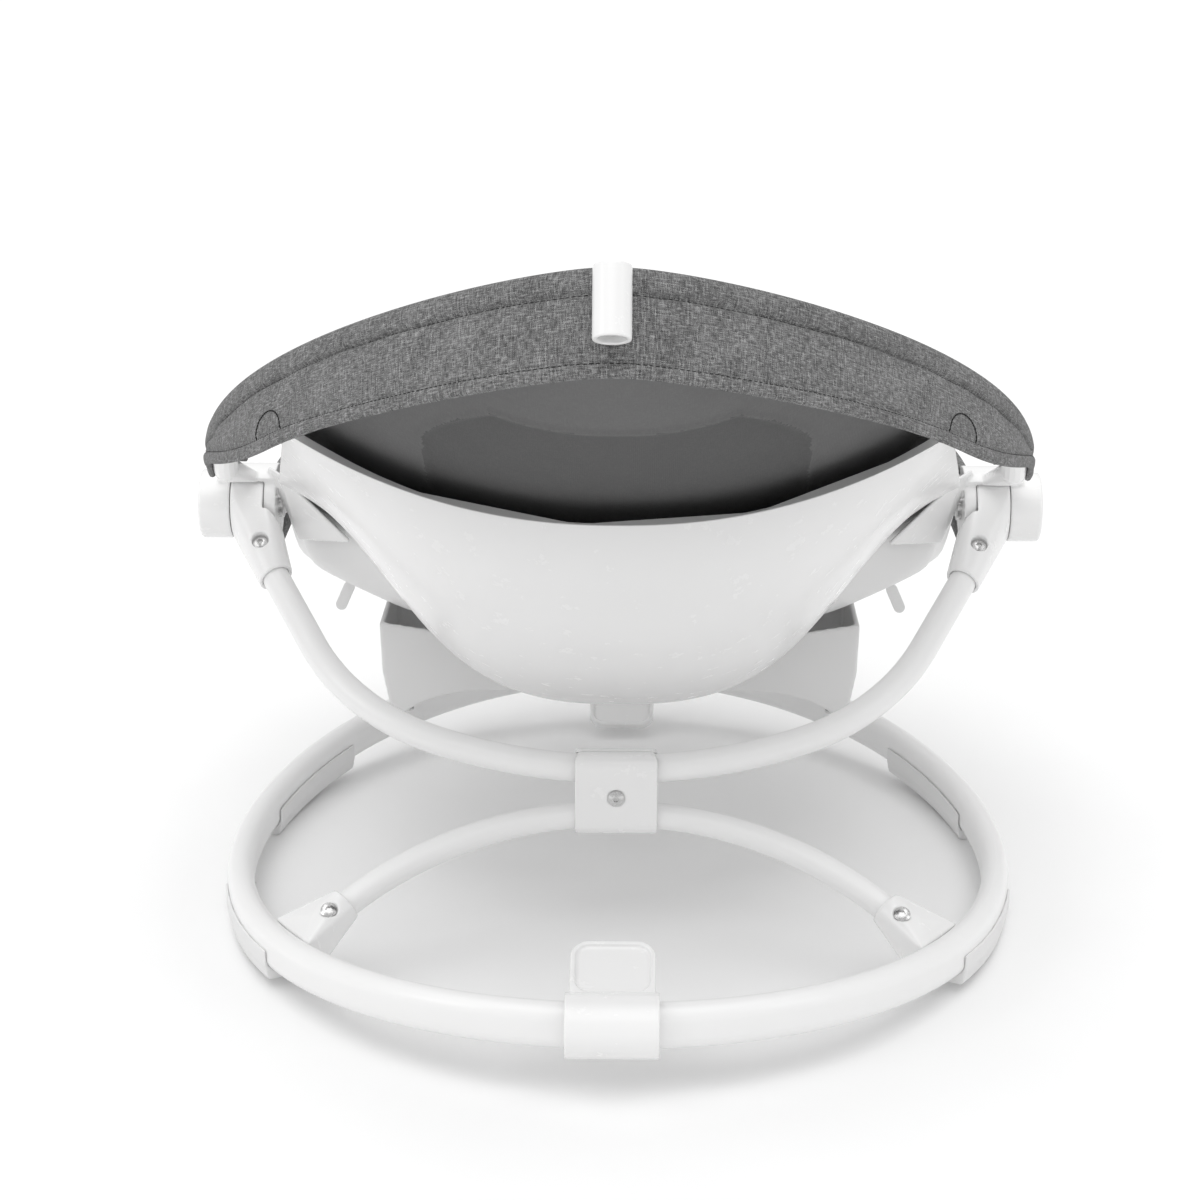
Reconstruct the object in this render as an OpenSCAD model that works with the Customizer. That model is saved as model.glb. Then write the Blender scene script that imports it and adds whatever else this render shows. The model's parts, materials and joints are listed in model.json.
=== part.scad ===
// Baby bouncer: fabric bucket seat on a tubular stand with an oval rocker hoop.
// X runs across the seat, Y from the head end to the foot end, Z up from the floor.

/* [Hoop] */
// Half width of the rocker hoop at the tube's centre line
hoop_half_w = 250; // [220:1:290]
// Wall of the steel tubes
tube_wall = 1.5; // [1:0.1:2]
// Half length of the rocker hoop at the tube's centre line
hoop_half_l = 305; // [270:1:340]
// Height of the hoop tube section
hoop_tube_h = 27; // [22:0.5:32]
// Thickness of the hoop tube section
hoop_tube_w = 17; // [14:0.5:20]
// How far the pads hold the tube off the floor
pad_lift = 5; // [3:0.5:9]
// How far the hoop's ends curl up above its middle
hoop_rise = 24; // [16:1:32]
// Distance of a pad's outer end from the hoop's middle, along Y
pad_outer_y = 176; // [150:1:200]
// Distance of a pad's inner end from the hoop's middle, along Y
pad_inner_y = 62; // [40:1:90]
// Distance of the end of a pad's level landing from the hoop's middle, along Y
pad_level_y = 76; // [60:1:100]

/* [Stand tubes] */
// Distance of the centre clamp behind the hoop's middle
clamp_back = 110; // [90:1:130]
// Tilt of the plane that holds the lower arch
arch_tilt = 41; // [36:0.5:46]
// Tilt of the plane that holds the upper bow
bow_tilt = 35.8; // [32:0.1:40]
// Diameter of the lower arch tube
arch_tube_d = 16.5; // [14:0.5:20]
// Bend radius of the lower arch
arch_bend_r = 245; // [225:1:270]
// Diameter of the upper bow tube
bow_tube_d = 18; // [15:0.5:21]
// Height of the arch tube's centre where the clamp grips it
arch_top_z = 88.8; // [80:0.2:96]
// Spacing of the two tubes where the clamp grips them
clamp_spacing = 29.8; // [27:0.2:34]
// Width of the centre clamp
clamp_w = 51; // [40:1:60]
// Wall of the clamp outside the tubes
clamp_wall = 2.8; // [2:0.1:5]

/* [Pivots] */
// Distance from the clamp's upper tube to the pivot axis, up the bow's plane
pivot_s = 209.4; // [195:0.2:225]
// Diameter of the pivot knuckle and knob
knob_d = 46; // [40:1:52]
// Thickness of the knuckle along the pivot axis
knuckle_t = 22; // [18:1:26]
// Inner face of the knuckle, measured from the middle of the seat
knuckle_in_x = 236; // [230:1:245]
// Length of the outer hub
hub_l = 21; // [18:1:26]
// Diameter of the pivot pin
pin_d = 10; // [8:0.5:12]
// Travel of the recline button
button_travel = 6; // [4:0.5:7]
// Number of teeth on the lock gear
gear_teeth = 12; // [8:1:16]

/* [Seat] */
// Half width of the cover at the pivots
rim_half_w = 268; // [255:1:285]
// Length of the cover from the pivots to the head end, along its slope
rim_l = 435; // [400:1:470]
// Slope of the cover's rim
rim_tilt = 28.5; // [24:0.5:34]
// Height of the cover's rim over the pivot axis
rim_over_pivot = 24; // [20:1:30]
// Diameter of the head rim tube
rim_tube_d = 16; // [12:0.5:19]
// Depth of the cover's skirt at the head end
skirt_depth = 58; // [45:1:70]
// Thickness of the cover's cloth and padding
cover_t = 3; // [2:0.5:5]
// Thickness of the padded liner
liner_t = 10; // [6:1:14]
// Distance of the foot end from the hoop's middle
foot_y = 361.4; // [330:0.2:380]
// Half width of the tray
tray_half_w = 236; // [232:1:240]
// Height of the tray's floor
tray_floor_z = 149; // [144:1:153]
// Wall of the moulded shells
shell_t = 3; // [2:0.5:4]

/* [Toy bar socket] */
// Outer diameter of the socket
socket_d = 20; // [18:0.5:24]
// Bore of the socket
socket_bore_d = 15; // [12:0.5:17]
// Length of the socket
socket_l = 38; // [30:1:50]

/* [Kickstands] */
// Width of the kickstand's grip on the hoop
kick_w = 53; // [44:1:60]
// Outer diameter of the kickstand's grip
kick_d = 37; // [36:0.5:40]
// Length of the kickstand's foot from the hoop's axis
kick_l = 56; // [48:1:58]
// Slope of the rear kickstand's plate, folded up
rear_kick_rise = 29; // [10:1:35]
// Slope of the front kickstand's plate, let down
front_kick_rise = -36; // [-40:1:-20]

/* [Harness] */
// Width of the webbing
web_w = 25; // [20:1:30]
// Thickness of the webbing
web_t = 2; // [1.5:0.5:3]

/* [Fits] */
// Gap between pieces that turn or slide on each other
turn_gap = 0.3; // [0.2:0.05:0.5]
// Gap between pieces that are fastened together
seat_gap = 0.15; // [0.1:0.05:0.3]
// Radial gap of the pivot pin in its knuckle
pin_gap = 0.06; // [0.02:0.01:0.1]

/* [Hidden] */
$fn = 64;

white = "#f2f2f0";
shade_white = "#e2e2e0";
heather = "#6f7072";
lining = "#48484a";
steel = "#b9bcc0";

// ---- small helpers -------------------------------------------------------
function unit(v) = v / norm(v);
function mix(a, b, t) = a * (1 - t) + b * t;
function clamp01(t) = min(1, max(0, t));
function ease(t) = let (c = clamp01(t)) c * c * (3 - 2 * c);
function flat(l) = [for (a = l) for (b = a) b];
function flip_list(l) = [for (i = [len(l) - 1:-1:0]) l[i]];
function soft_max(a, b, k) = k * ln(exp(a / k) + exp(b / k));

// Solid through a list of rings, each a closed loop of as many points. Where a ring folds back
// on itself, as a sheet's does, its ends are closed by strips across it.
module loft(rings, closed = false, folded = false) {
  n = len(rings);
  m = len(rings[0]);
  last = closed ? n - 1 : n - 2;
  end = (n - 1) * m;
  sides = [for (i = [0:last], j = [0:m - 1])
    let (a = i * m + j, b = i * m + (j + 1) % m, c = ((i + 1) % n) * m + (j + 1) % m,
      d = ((i + 1) % n) * m + j)
    each [[a, b, c], [a, c, d]]];
  strips = [for (j = [0:m / 2 - 2]) let (k = m - 1 - j) each [[k, k - 1, j + 1], [k, j + 1, j],
    [end + j, end + j + 1, end + k - 1], [end + j, end + k - 1, end + k]]];
  caps = closed ? [] : folded ? strips : [[for (j = [m - 1:-1:0]) j], [for (j = [0:m - 1]) end + j]];
  polyhedron(points = flat(rings), faces = concat(sides, caps), convexity = 8);
}

// Sheet between two grids of points: the rows of top and of bottom.
module sheet(top, bottom) {
  loft([for (i = [0:len(top) - 1]) concat(flip_list(top[i]), bottom[i])], folded = true);
}

// Stadium outline: a slot with half-round ends, tall along Y.
module stadium(w, h) {
  square([w, h - w], center = true);
  for (s = [-1, 1]) translate([0, s * (h - w) / 2]) circle(d = w);
}

module rounded_rect(w, h, r) {
  square([w - 2 * r, h], center = true);
  square([w, h - 2 * r], center = true);
  for (sx = [-1, 1], sy = [-1, 1]) translate([sx * (w / 2 - r), sy * (h / 2 - r)]) circle(r = r);
}

// Arc of round tube in the XY plane about the origin; a bore of 0 makes it solid.
module tube_arc(bend_r, tube_d, bore_d, from, to) {
  rotate([0, 0, from]) rotate_extrude(angle = to - from, $fn = 180) translate([bend_r, 0]) difference() {
    circle(d = tube_d, $fn = 48);
    if (bore_d > 0) circle(d = bore_d, $fn = 48);
  }
}

module both_sides() { children(); mirror([1, 0, 0]) children(); }

// Button-head screw: head above the XY plane, shank below it.
module screw(head_d, head_h, shank_d, shank_l) {
  difference() {
    rotate_extrude() {
      intersection() {
        translate([0, head_h - head_d]) circle(r = head_d);
        square([head_d / 2, head_h]);
      }
    }
    translate([0, 0, head_h - 1.6]) cylinder(d = head_d * 0.36, h = 5);
  }
  translate([0, 0, -shank_l]) cylinder(d = shank_d, h = shank_l);
}

// ---- hoop ----------------------------------------------------------------
hoop_mid_z = pad_lift + hoop_tube_h / 2 - hoop_rise * pow(pad_inner_y / hoop_half_l, 2);
hoop_end_z = hoop_mid_z + hoop_rise;
function hoop_z(y) = hoop_mid_z + hoop_rise * pow(y / hoop_half_l, 2);
function hoop_pt(a) = [hoop_half_w * cos(a), hoop_half_l * sin(a), hoop_z(hoop_half_l * sin(a))];
function hoop_dir(a) = unit(hoop_pt(a + 0.5) - hoop_pt(a - 0.5));
function hoop_out(a) = unit(cross(hoop_dir(a), [0, 0, 1]));
function hoop_up(a) = cross(hoop_out(a), hoop_dir(a));

// Section of the oval tube, grown by g, as points (out, up).
function oval(g, half_steps = 8) =
  let (r = hoop_tube_w / 2 + g, s = (hoop_tube_h - hoop_tube_w) / 2)
  concat([for (i = [0:half_steps]) let (t = 180 * i / half_steps) [r * cos(t), s + r * sin(t)]],
         [for (i = [0:half_steps]) let (t = 180 + 180 * i / half_steps) [r * cos(t), -s + r * sin(t)]]);
function hoop_ring(a, section) = [for (p = section) hoop_pt(a) + p[0] * hoop_out(a) + p[1] * hoop_up(a)];

hoop_step = 5;
module hoop_solid(g) {
  loft([for (a = [0:hoop_step:360 - hoop_step]) hoop_ring(a, oval(g))], closed = true);
}

// The tube is rolled from strip, so its section is open at a fine seam on the inner side.
hoop_seam = 0.5;
function seam_arc(g) =
  let (r = hoop_tube_w / 2 + g, s = (hoop_tube_h - hoop_tube_w) / 2, n = 6)
  concat([[-r, hoop_seam / 2]],
         [for (i = [n:-1:0]) let (t = 180 * i / n) [r * cos(t), s + r * sin(t)]],
         [for (i = [n:-1:0]) let (t = 180 + 180 * i / n) [r * cos(t), -s + r * sin(t)]],
         [[-r, -hoop_seam / 2]]);
module base_hoop() {
  section = concat(seam_arc(0), flip_list(seam_arc(-tube_wall)));
  color(white) loft([for (a = [0:hoop_step:360 - hoop_step]) flip_list(hoop_ring(a, section))],
    closed = true);
}

// Angle round the hoop at a distance y from its middle.
function hoop_angle(y) = asin(y / hoop_half_l);

// Rubber pad under one quarter of the hoop: hugs the tube's lower half.
pad_grip = 6;
pad_wall = 1.6;
pad_edge = 1.2;
function pad_z(y) = max(0, hoop_z(y) - hoop_z(pad_level_y));
module pad_block(y0, y1, g) {
  a0 = hoop_angle(y0);
  a1 = hoop_angle(y1);
  steps = 10;
  r = hoop_tube_w / 2 + pad_wall + g;
  s = (hoop_tube_h - hoop_tube_w) / 2;
  loft([for (i = [0:steps]) let (a = mix(a0, a1, i / steps), q = hoop_pt(a), o = hoop_out(a),
    low = q[2] - pad_z(q[1]) + g)
    [for (p = [[-r, -s - 4], [2 - r, pad_edge - low], [4 - r, -low], [r - 4, -low], [r - 2, pad_edge - low],
        [r, -s - 4], [r, g + pad_grip - s], [-r, g + pad_grip - s]])
      [q[0] + p[0] * o[0], q[1] + p[0] * o[1], q[2] + p[1]]]]);
}
module pad(y0, y1) {
  difference() {
    pad_block(y0, y1, 0);
    hoop_solid(seat_gap);
  }
}

pad_colour = "#dcdcda";
module rear_left_pad() { color(pad_colour) mirror([1, 0, 0]) pad(-pad_outer_y, -pad_inner_y); }
module rear_right_pad() { color(pad_colour) pad(-pad_outer_y, -pad_inner_y); }
module front_left_pad() { color(pad_colour) mirror([1, 0, 0]) pad(pad_inner_y, pad_outer_y); }
module front_right_pad() { color(pad_colour) pad(pad_inner_y, pad_outer_y); }

// ---- kickstands ----------------------------------------------------------
barrel_wall = 2;
barrel_d = hoop_tube_h + 2 * seat_gap + 2 * barrel_wall + 0.6;
barrel_l = kick_w - 8;
barrel_lip = 1.6;
kick_bore_d = barrel_d + 2 * turn_gap;
hoop_sagitta = pow(kick_w / 2, 2) * hoop_half_l / (2 * pow(hoop_half_w, 2));

hoop_drop = 2 * hoop_rise * pow(kick_w / 2 / hoop_half_w, 2);

// Round barrel that turns the oval tube into a hinge pin, at the hoop's end.
module hinge_barrel() {
  translate([0, -hoop_half_l, hoop_end_z]) difference() {
    rotate([0, 90, 0]) {
      cylinder(d = barrel_d, h = barrel_l, center = true);
      for (s = [-1, 1]) translate([0, 0, s * (barrel_l / 2 + barrel_lip / 2)])
        cylinder(d = barrel_d - 0.8, h = barrel_lip, center = true);
    }
    translate([0, hoop_sagitta / 2, 0]) rotate([90, 0, 90])
      linear_extrude(kick_w + 2, center = true) stadium(hoop_tube_w + 2 * seat_gap + hoop_sagitta,
        hoop_tube_h + 2 * seat_gap + hoop_drop);
  }
}

// Grip and foot plate; the plate points to the hoop's middle and up when folded.
plate_w = kick_w - 4;
plate_t = 7;
plate_r = 11;
plate_rim = 3;
plate_dish = 2.2;
module kickstand(rise) {
  translate([0, -hoop_half_l, hoop_end_z]) difference() {
    union() {
      rotate([0, 90, 0]) cylinder(d = kick_d, h = kick_w, center = true);
      rotate([rise, 0, 0]) difference() {
        union() {
          translate([0, kick_l - plate_r - 20, 0]) linear_extrude(plate_t, center = true)
            rounded_rect(plate_w, 40 + 2 * plate_r, plate_r);
          translate([-plate_w / 2, 0, -plate_t / 2]) cube([plate_w, kick_l / 2, plate_t]);
        }
        translate([0, kick_l / 2 + 9, plate_t / 2]) linear_extrude(2 * plate_dish, center = true)
          rounded_rect(plate_w - 2 * plate_rim, kick_l - 18 - 2 * plate_rim, plate_r - plate_rim);
      }
    }
    rotate([0, 90, 0]) cylinder(d = kick_bore_d, h = kick_w + 2, center = true);
  }
}

module rear_hinge_barrel() { color(white) hinge_barrel(); }
module front_hinge_barrel() { color(white) mirror([0, 1, 0]) hinge_barrel(); }
module rear_kickstand() { color(white) kickstand(rear_kick_rise); }
module front_kickstand() { color(white) mirror([0, 1, 0]) kickstand(front_kick_rise); }

// ---- stand planes: origin on the tube in the clamp, local Y up the slope ------
bow_low_z = arch_top_z + clamp_spacing;
arch_end_x = 180;
arch_end_angle = asin(arch_end_x / arch_bend_r);
arch_end_s = -arch_bend_r * (1 - cos(arch_end_angle));
pivot_y = -clamp_back + pivot_s * cos(bow_tilt);
pivot_z = bow_low_z + pivot_s * sin(bow_tilt);

module on_arch() { translate([0, -clamp_back, arch_top_z]) rotate([arch_tilt, 0, 0]) children(); }
module on_bow() { translate([0, -clamp_back, bow_low_z]) rotate([bow_tilt, 0, 0]) children(); }
// Upright face to the head side: children's Z points to the head end.
module to_head(p) { translate(p) rotate([90, 0, 0]) children(); }
spot_gap = 0.5;
// Through screw, square to a tube's plane: its hole with a flat seat for the head, and itself.
module screw_room(p, face) {
  translate([p[0], p[1], 0]) {
    cylinder(d = bolt_d + 2 * seat_gap, h = 60, center = true, $fn = 32);
    translate([0, 0, face]) cylinder(d = bolt_head_d + 2 * spot_gap, h = 14);
  }
}
module through_screw(p, face) {
  translate([p[0], p[1], face + 0.1]) screw(bolt_head_d, bolt_head_h, bolt_d, 2 * face - 0.5);
}

module arch_tube(d, bore_d = 0) {
  translate([0, -arch_bend_r, 0]) tube_arc(arch_bend_r, d, bore_d, 90 - arch_end_angle,
    90 + arch_end_angle);
}
module lower_arch() {
  color(white) difference() {
    on_arch() arch_tube(arch_tube_d, arch_tube_d - 2 * tube_wall);
    on_arch() both_sides() screw_room(connector_bolt, connector_face);
  }
}

// The bow: a wide arc at the bottom, a tighter arc each side, straight legs.
bow_wide_r = 320;
bow_wide_angle = 21;
bow_side_r = 155;
bow_leg_angle = 62;
bow_wide_c = [0, bow_wide_r];
bow_side_c = bow_wide_c + (bow_wide_r - bow_side_r) * [sin(bow_wide_angle), -cos(bow_wide_angle)];
bow_leg_start = bow_side_c + bow_side_r * [sin(bow_leg_angle), -cos(bow_leg_angle)];
bow_leg_dir = [cos(bow_leg_angle), sin(bow_leg_angle)];
bow_leg_l = 99;
bow_leg_end = bow_leg_start + bow_leg_l * bow_leg_dir;

// Stations along the right half of the bow: x, s and heading.
function bow_at(angle, c, r) = [c[0] + r * sin(angle), c[1] - r * cos(angle), angle];
bow_half = concat([for (i = [1:7]) bow_at(i * bow_wide_angle / 7, bow_wide_c, bow_wide_r)],
  [for (i = [1:8]) bow_at(mix(bow_wide_angle, bow_leg_angle, i / 8), bow_side_c, bow_side_r)],
  [[bow_leg_end[0], bow_leg_end[1], bow_leg_angle]]);
bow_path = concat([for (p = flip_list(bow_half)) [-p[0], p[1], -p[2]]],
  [bow_at(0, bow_wide_c, bow_wide_r)], bow_half);
bow_sides = 24;
function bow_ring(p, d) = [for (j = [0:bow_sides - 1]) let (a = -360 * j / bow_sides)
  [p[0] - sin(p[2]) * d / 2 * cos(a), p[1] + cos(p[2]) * d / 2 * cos(a), d / 2 * sin(a)]];
module upper_bow() {
  color(white) on_bow() difference() {
    loft(concat([for (p = bow_path) bow_ring(p, bow_tube_d)],
      [for (p = flip_list(bow_path)) bow_ring(p, bow_tube_d - 2 * tube_wall)]), closed = true);
    both_sides() screw_room(knuckle_bolt, knuckle_face);
  }
}

// Arch foot: a socket for the arch's end that flares to hug the hoop.
socket_wall = 2.6;
connector_grip = 22;
arch_end_dir = [cos(arch_end_angle), -sin(arch_end_angle), 0];
bolt_head_d = 10;
bolt_head_h = 3.4;
bolt_d = 5;
bolt_sink = 1.2;
connector_bolt_back = 9;
tail_half_l = 22;
tail_t = 5;
foot_angle = -hoop_angle(177);
module connector() {
  difference() {
    hull() {
      on_arch() translate([arch_end_x, arch_end_s, 0]) rotate([0, 0, -arch_end_angle - 90])
        rotate([-90, 0, 0])
        translate([0, 0, -connector_grip]) cylinder(d = arch_tube_d + 2 * socket_wall,
          h = connector_grip, $fn = 32);
      for (s = [-1, 1])
        let (a = foot_angle + s * 4.4, q = hoop_pt(a), o = hoop_out(a), u = hoop_up(a))
        translate(q - (hoop_tube_w / 2 + tail_t - 4) * o) rotate([0, 0, a])
          cube([tail_t, 6, hoop_tube_h - 5], center = true);
    }
    hoop_solid(seat_gap);
    pad_block(-pad_outer_y, -pad_inner_y, 2 * seat_gap);
    on_arch() arch_tube(arch_tube_d + 2 * seat_gap);
    on_arch() screw_room(connector_bolt, connector_face);
  }
}
connector_bolt_angle = arch_end_angle - connector_bolt_back / arch_bend_r * 180 / PI;
connector_bolt = arch_bend_r * [sin(connector_bolt_angle), cos(connector_bolt_angle) - 1];
connector_face = arch_tube_d / 2 + 1.7;
module connector_bolts() { color(steel) on_arch() both_sides() through_screw(connector_bolt,
  connector_face); }
module right_base_connector() { color(white) connector(); }
module left_base_connector() { color(white) mirror([1, 0, 0]) connector(); }

// ---- centre clamp --------------------------------------------------------
clamp_mid_z = (arch_top_z + bow_low_z) / 2;
clamp_low_z = arch_top_z - arch_tube_d / 2 - clamp_wall;
clamp_high_z = bow_low_z + bow_tube_d / 2 + clamp_wall;
clamp_half_t = bow_tube_d / 2 + clamp_wall;
clamp_round = 8;
clamp_split = 0.4;
// How far the bow rises out of line from the middle of the clamp to its side
bow_sagitta = pow(clamp_w / 2, 2) / (2 * bow_wide_r);
clamp_bolt_d = 6;
module clamp_shell(side) {
  difference() {
    intersection() {
      translate([0, -clamp_back, (clamp_low_z + clamp_high_z) / 2]) rotate([90, 0, 90])
        linear_extrude(clamp_w, center = true) rounded_rect(2 * clamp_half_t,
          clamp_high_z - clamp_low_z, clamp_round);
      translate([0, -clamp_back - side * (clamp_half_t + clamp_split) / 2,
        (clamp_low_z + clamp_high_z) / 2]) rotate([90, 0, 0])
        linear_extrude(clamp_half_t - clamp_split, center = true)
          rounded_rect(clamp_w, clamp_high_z - clamp_low_z, 4);
    }
    translate([0, -clamp_back, bow_low_z]) rotate([0, 90, 0])
      cylinder(d = bow_tube_d + 2 * (turn_gap + bow_sagitta), h = 2 * clamp_w, center = true);
    on_arch() translate([0, -arch_bend_r]) tube_arc(arch_bend_r, arch_tube_d + 2 * seat_gap, 0, 82, 98);
    to_head([0, -clamp_back, clamp_mid_z]) {
      cylinder(d = clamp_bolt_d + 2 * seat_gap, h = 60, center = true);
      translate([0, 0, clamp_half_t - bolt_sink]) cylinder(d = bolt_head_d + 1, h = 10);
      translate([0, 0, -clamp_half_t - 10 + nut_h]) cylinder(d = nut_d + 1, h = 10);
    }
  }
}
nut_d = 11;
nut_h = 5;
module clamp_rear_shell() { color(white) clamp_shell(1); }
module clamp_front_shell() { color(white) clamp_shell(-1); }
module clamp_bolt() {
  color(steel) to_head([0, -clamp_back, clamp_mid_z]) {
    translate([0, 0, clamp_half_t - bolt_sink]) screw(bolt_head_d, bolt_head_h, clamp_bolt_d,
      2 * clamp_half_t - bolt_sink - 1);
    translate([0, 0, -clamp_half_t]) linear_extrude(nut_h - 0.1) circle(d = nut_d, $fn = 6);
  }
}

// ---- pivots (built on the right side and mirrored) ------------------------
knuckle_out_x = knuckle_in_x + knuckle_t;
hub_in_x = knuckle_out_x + turn_gap;
hub_out_x = hub_in_x + hub_l;
hub_wall = 3;
knob_r = knob_d / 2;
plate_x = knuckle_in_x - turn_gap;
inner_plate_t = 8;
gear_pocket_d = knob_d - 10;
gear_pocket_depth = button_travel + 9;
gear_tip_d = gear_pocket_d - 1;
gear_root_d = gear_tip_d - 6;
gear_t = 8;
gear_tooth_w = 3.6;
arm_d = bow_tube_d + 5;
pin_head_d = 18;
pin_head_t = 3;

// Round bar along X, centred on the pivot axis.
module on_pivot(x) { translate([x, pivot_y, pivot_z]) rotate([0, 90, 0]) children(); }

module leg_point(back) {
  on_bow() translate([bow_leg_end[0] - back * bow_leg_dir[0], bow_leg_end[1] - back * bow_leg_dir[1], 0])
    rotate([0, 0, bow_leg_angle - 90]) rotate([-90, 0, 0]) children();
}
knuckle_grip = 38;
knuckle_bolt_back = 15;
knuckle_bolt = bow_leg_end - knuckle_bolt_back * bow_leg_dir;
knuckle_face = bow_tube_d / 2 + 1.6;
module knuckle() {
  difference() {
    hull() {
      on_pivot(knuckle_in_x + 1) cylinder(d = knob_d, h = knuckle_t - 2, $fn = 48);
      on_pivot(knuckle_in_x) cylinder(d = knob_d - 2, h = knuckle_t, $fn = 48);
      leg_point(knuckle_grip) cylinder(d = arm_d, h = knuckle_grip, $fn = 32);
    }
    on_pivot(knuckle_in_x - 1) cylinder(d = pin_d + 2 * pin_gap, h = knuckle_t + 2);
    on_pivot(knuckle_out_x - gear_pocket_depth) cylinder(d = gear_pocket_d, h = gear_pocket_depth + 1);
    leg_point(knuckle_grip + 1) cylinder(d = bow_tube_d + 2 * seat_gap, h = knuckle_grip + 1.5, $fn = 48);
    on_bow() screw_room(knuckle_bolt, knuckle_face);
    on_pivot(knuckle_in_x - 12) cylinder(d = knob_d + 8, h = 12);
  }
}
module right_knuckle() { color(white) knuckle(); }
module left_knuckle() { color(white) mirror([1, 0, 0]) knuckle(); }
module knuckle_bolts() { color(steel) on_bow() both_sides() through_screw(knuckle_bolt, knuckle_face); }

// ---- rim outlines ---------------------------------------------------------
// Head outline in the rim's plane: x across, e up the slope from the pivots.
head_px = 1.35;
head_pe = 2.1;
head_soft = 0.06;
head_k = pow(1 + head_soft * head_soft, head_px / 2) - pow(head_soft, head_px);
function head_x(c) = sign(c) * sqrt(max(0, pow(c * c * head_k + pow(head_soft, head_px),
  2 / head_px) - head_soft * head_soft));
function head_out(phi) = [rim_half_w * head_x(cos(phi)), rim_l * pow(sin(phi), 2 / head_pe)];
function head_phi(e) = asin(pow(e / rim_l, head_pe / 2));
function head_dir(phi) = let (h = 1.5) unit(head_out(phi + h) - head_out(phi - h));
function head_normal(phi) = let (d = head_dir(phi)) [d[1], -d[0]];
// Point of the rim's plane in space, d below the plane.
rim_y0 = pivot_y;
rim_z0 = pivot_z + rim_over_pivot;
function rim3(p, d) = [p[0], rim_y0 - p[1] * cos(rim_tilt) - d * sin(rim_tilt),
  rim_z0 + p[1] * sin(rim_tilt) - d * cos(rim_tilt)];
function rim_at(phi, out, d) = rim3(head_out(phi) + out * head_normal(phi), d);
function plane_z(y) = rim_z0 + (rim_y0 - y) * tan(rim_tilt);

rim_tube_in = cover_t + seat_gap + rim_tube_d / 2;
rim_start_e = 50;
cover_start_e = 34;
border_w = 24;

// Rolled head tube, open at a fine seam under the cover.
module head_rim() {
  n = 44;
  m = 14;
  phi0 = head_phi(rim_start_e);
  ring = concat([for (j = [0:m]) let (a = -90 + 2 + j * 356 / m) [rim_tube_d / 2, a]],
    [for (j = [m:-1:0]) let (a = -90 + 2 + j * 356 / m) [rim_tube_d / 2 - tube_wall, a]]);
  color(white) loft([for (i = [0:n]) let (phi = mix(phi0, 180 - phi0, i / n))
    [for (p = ring) rim_at(phi, p[0] * cos(p[1]) - rim_tube_in, rim_tube_in + p[0] * sin(p[1]))]]);
}

// Depth of the skirt, e up the slope: shallow by the pivots, full round the head.
skirt_corner = 14;
skirt_last = 6;
skirt_bend_e = 250;
function skirt_at(e) = skirt_corner + (skirt_depth - skirt_last - skirt_corner) * ease((e - cover_start_e) / 230)
  + skirt_last * ease((e - skirt_bend_e) / (rim_l - skirt_bend_e));

neck_w = 10;
neck_h = 10;
neck_d = 8;
module rim_box(w, e0, e1, d0, d1) {
  translate([0, rim_y0, rim_z0]) rotate([180 - rim_tilt, 0, 0]) translate([-w / 2, e0, d0])
    cube([w, e1 - e0, d1 - d0]);
}
module head_cover() {
  n = 56;
  phi0 = head_phi(cover_start_e);
  color(heather) difference() {
    loft([for (i = [0:n]) let (phi = mix(phi0, 180 - phi0, i / n), d = skirt_at(head_out(phi)[1]),
      t = cover_t)
      [for (p = [[0, 1.5], [0, d], [-t, d], [-t, t], [-border_w, t], [-border_w, 0],
        [-1.5, 0]]) rim_at(phi, p[0], p[1])]]);
    rim_box(neck_w + 1, rim_l - 8, rim_l + 8, neck_d - 0.5, neck_d + neck_h + 0.5);
  }
}

// Socket for a toy bar at the head end, its mouth down along the skirt.
socket_top_d = 4;
socket_out = 1.5;
socket_floor = 3;
module on_socket(d) {
  translate(rim3([0, rim_l + socket_out + socket_d / 2], d)) rotate([180 - rim_tilt, 0, 0]) children();
}
module toy_bar_socket() {
  color(white) difference() {
    union() {
      on_socket(socket_top_d) cylinder(d = socket_d, h = socket_l);
      rim_box(neck_w, rim_l - cover_t - seat_gap, rim_l + socket_out + 3, neck_d, neck_d + neck_h);
    }
    on_socket(socket_top_d + socket_floor) cylinder(d = socket_bore_d, h = socket_l);
  }
}

// ---- liner: the padded bucket of cloth -------------------------------------
back_slope = 0.8;
thigh_slope = 0.36;
fold_k = 25;
foot_rim_z = rim_z0;
function liner_mid_z(y) = soft_max(290 - back_slope * (y + 100), 152 + thigh_slope * (y - 80), fold_k);
function liner_edge_z(y) = soft_max(plane_z(y), foot_rim_z + 1.2, 4);
foot_outline_y = 90;
foot_p = 2.8;
foot_l = foot_y - foot_outline_y - cover_t - seat_gap;
function foot_half(y) = tray_half_w * pow(1 - pow(clamp01((y - foot_outline_y) / foot_l), foot_p),
  1 / foot_p);
function foot_out(a) = [tray_half_w * sign(cos(a)) * pow(abs(cos(a)), 2 / foot_p),
  foot_outline_y + foot_l * pow(sin(a), 2 / foot_p)];
liner_in = border_w + 3;
head_inner = [for (phi = [90:-2:20]) let (p = head_out(phi) - liner_in * head_normal(phi)) [p[1], p[0]]];
function head_half(y) = lookup((rim_y0 - y) / cos(rim_tilt), head_inner);
liner_waist = knuckle_in_x - 15;
function liner_half(y) = y < 60 ? mix(head_half(y), liner_waist, ease((y + 20) / 45)) : min(liner_waist,
  foot_half(y) - 5);
liner_shelf = 30;
liner_climb = 62;
liner_end_y = foot_y - 20;
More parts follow.
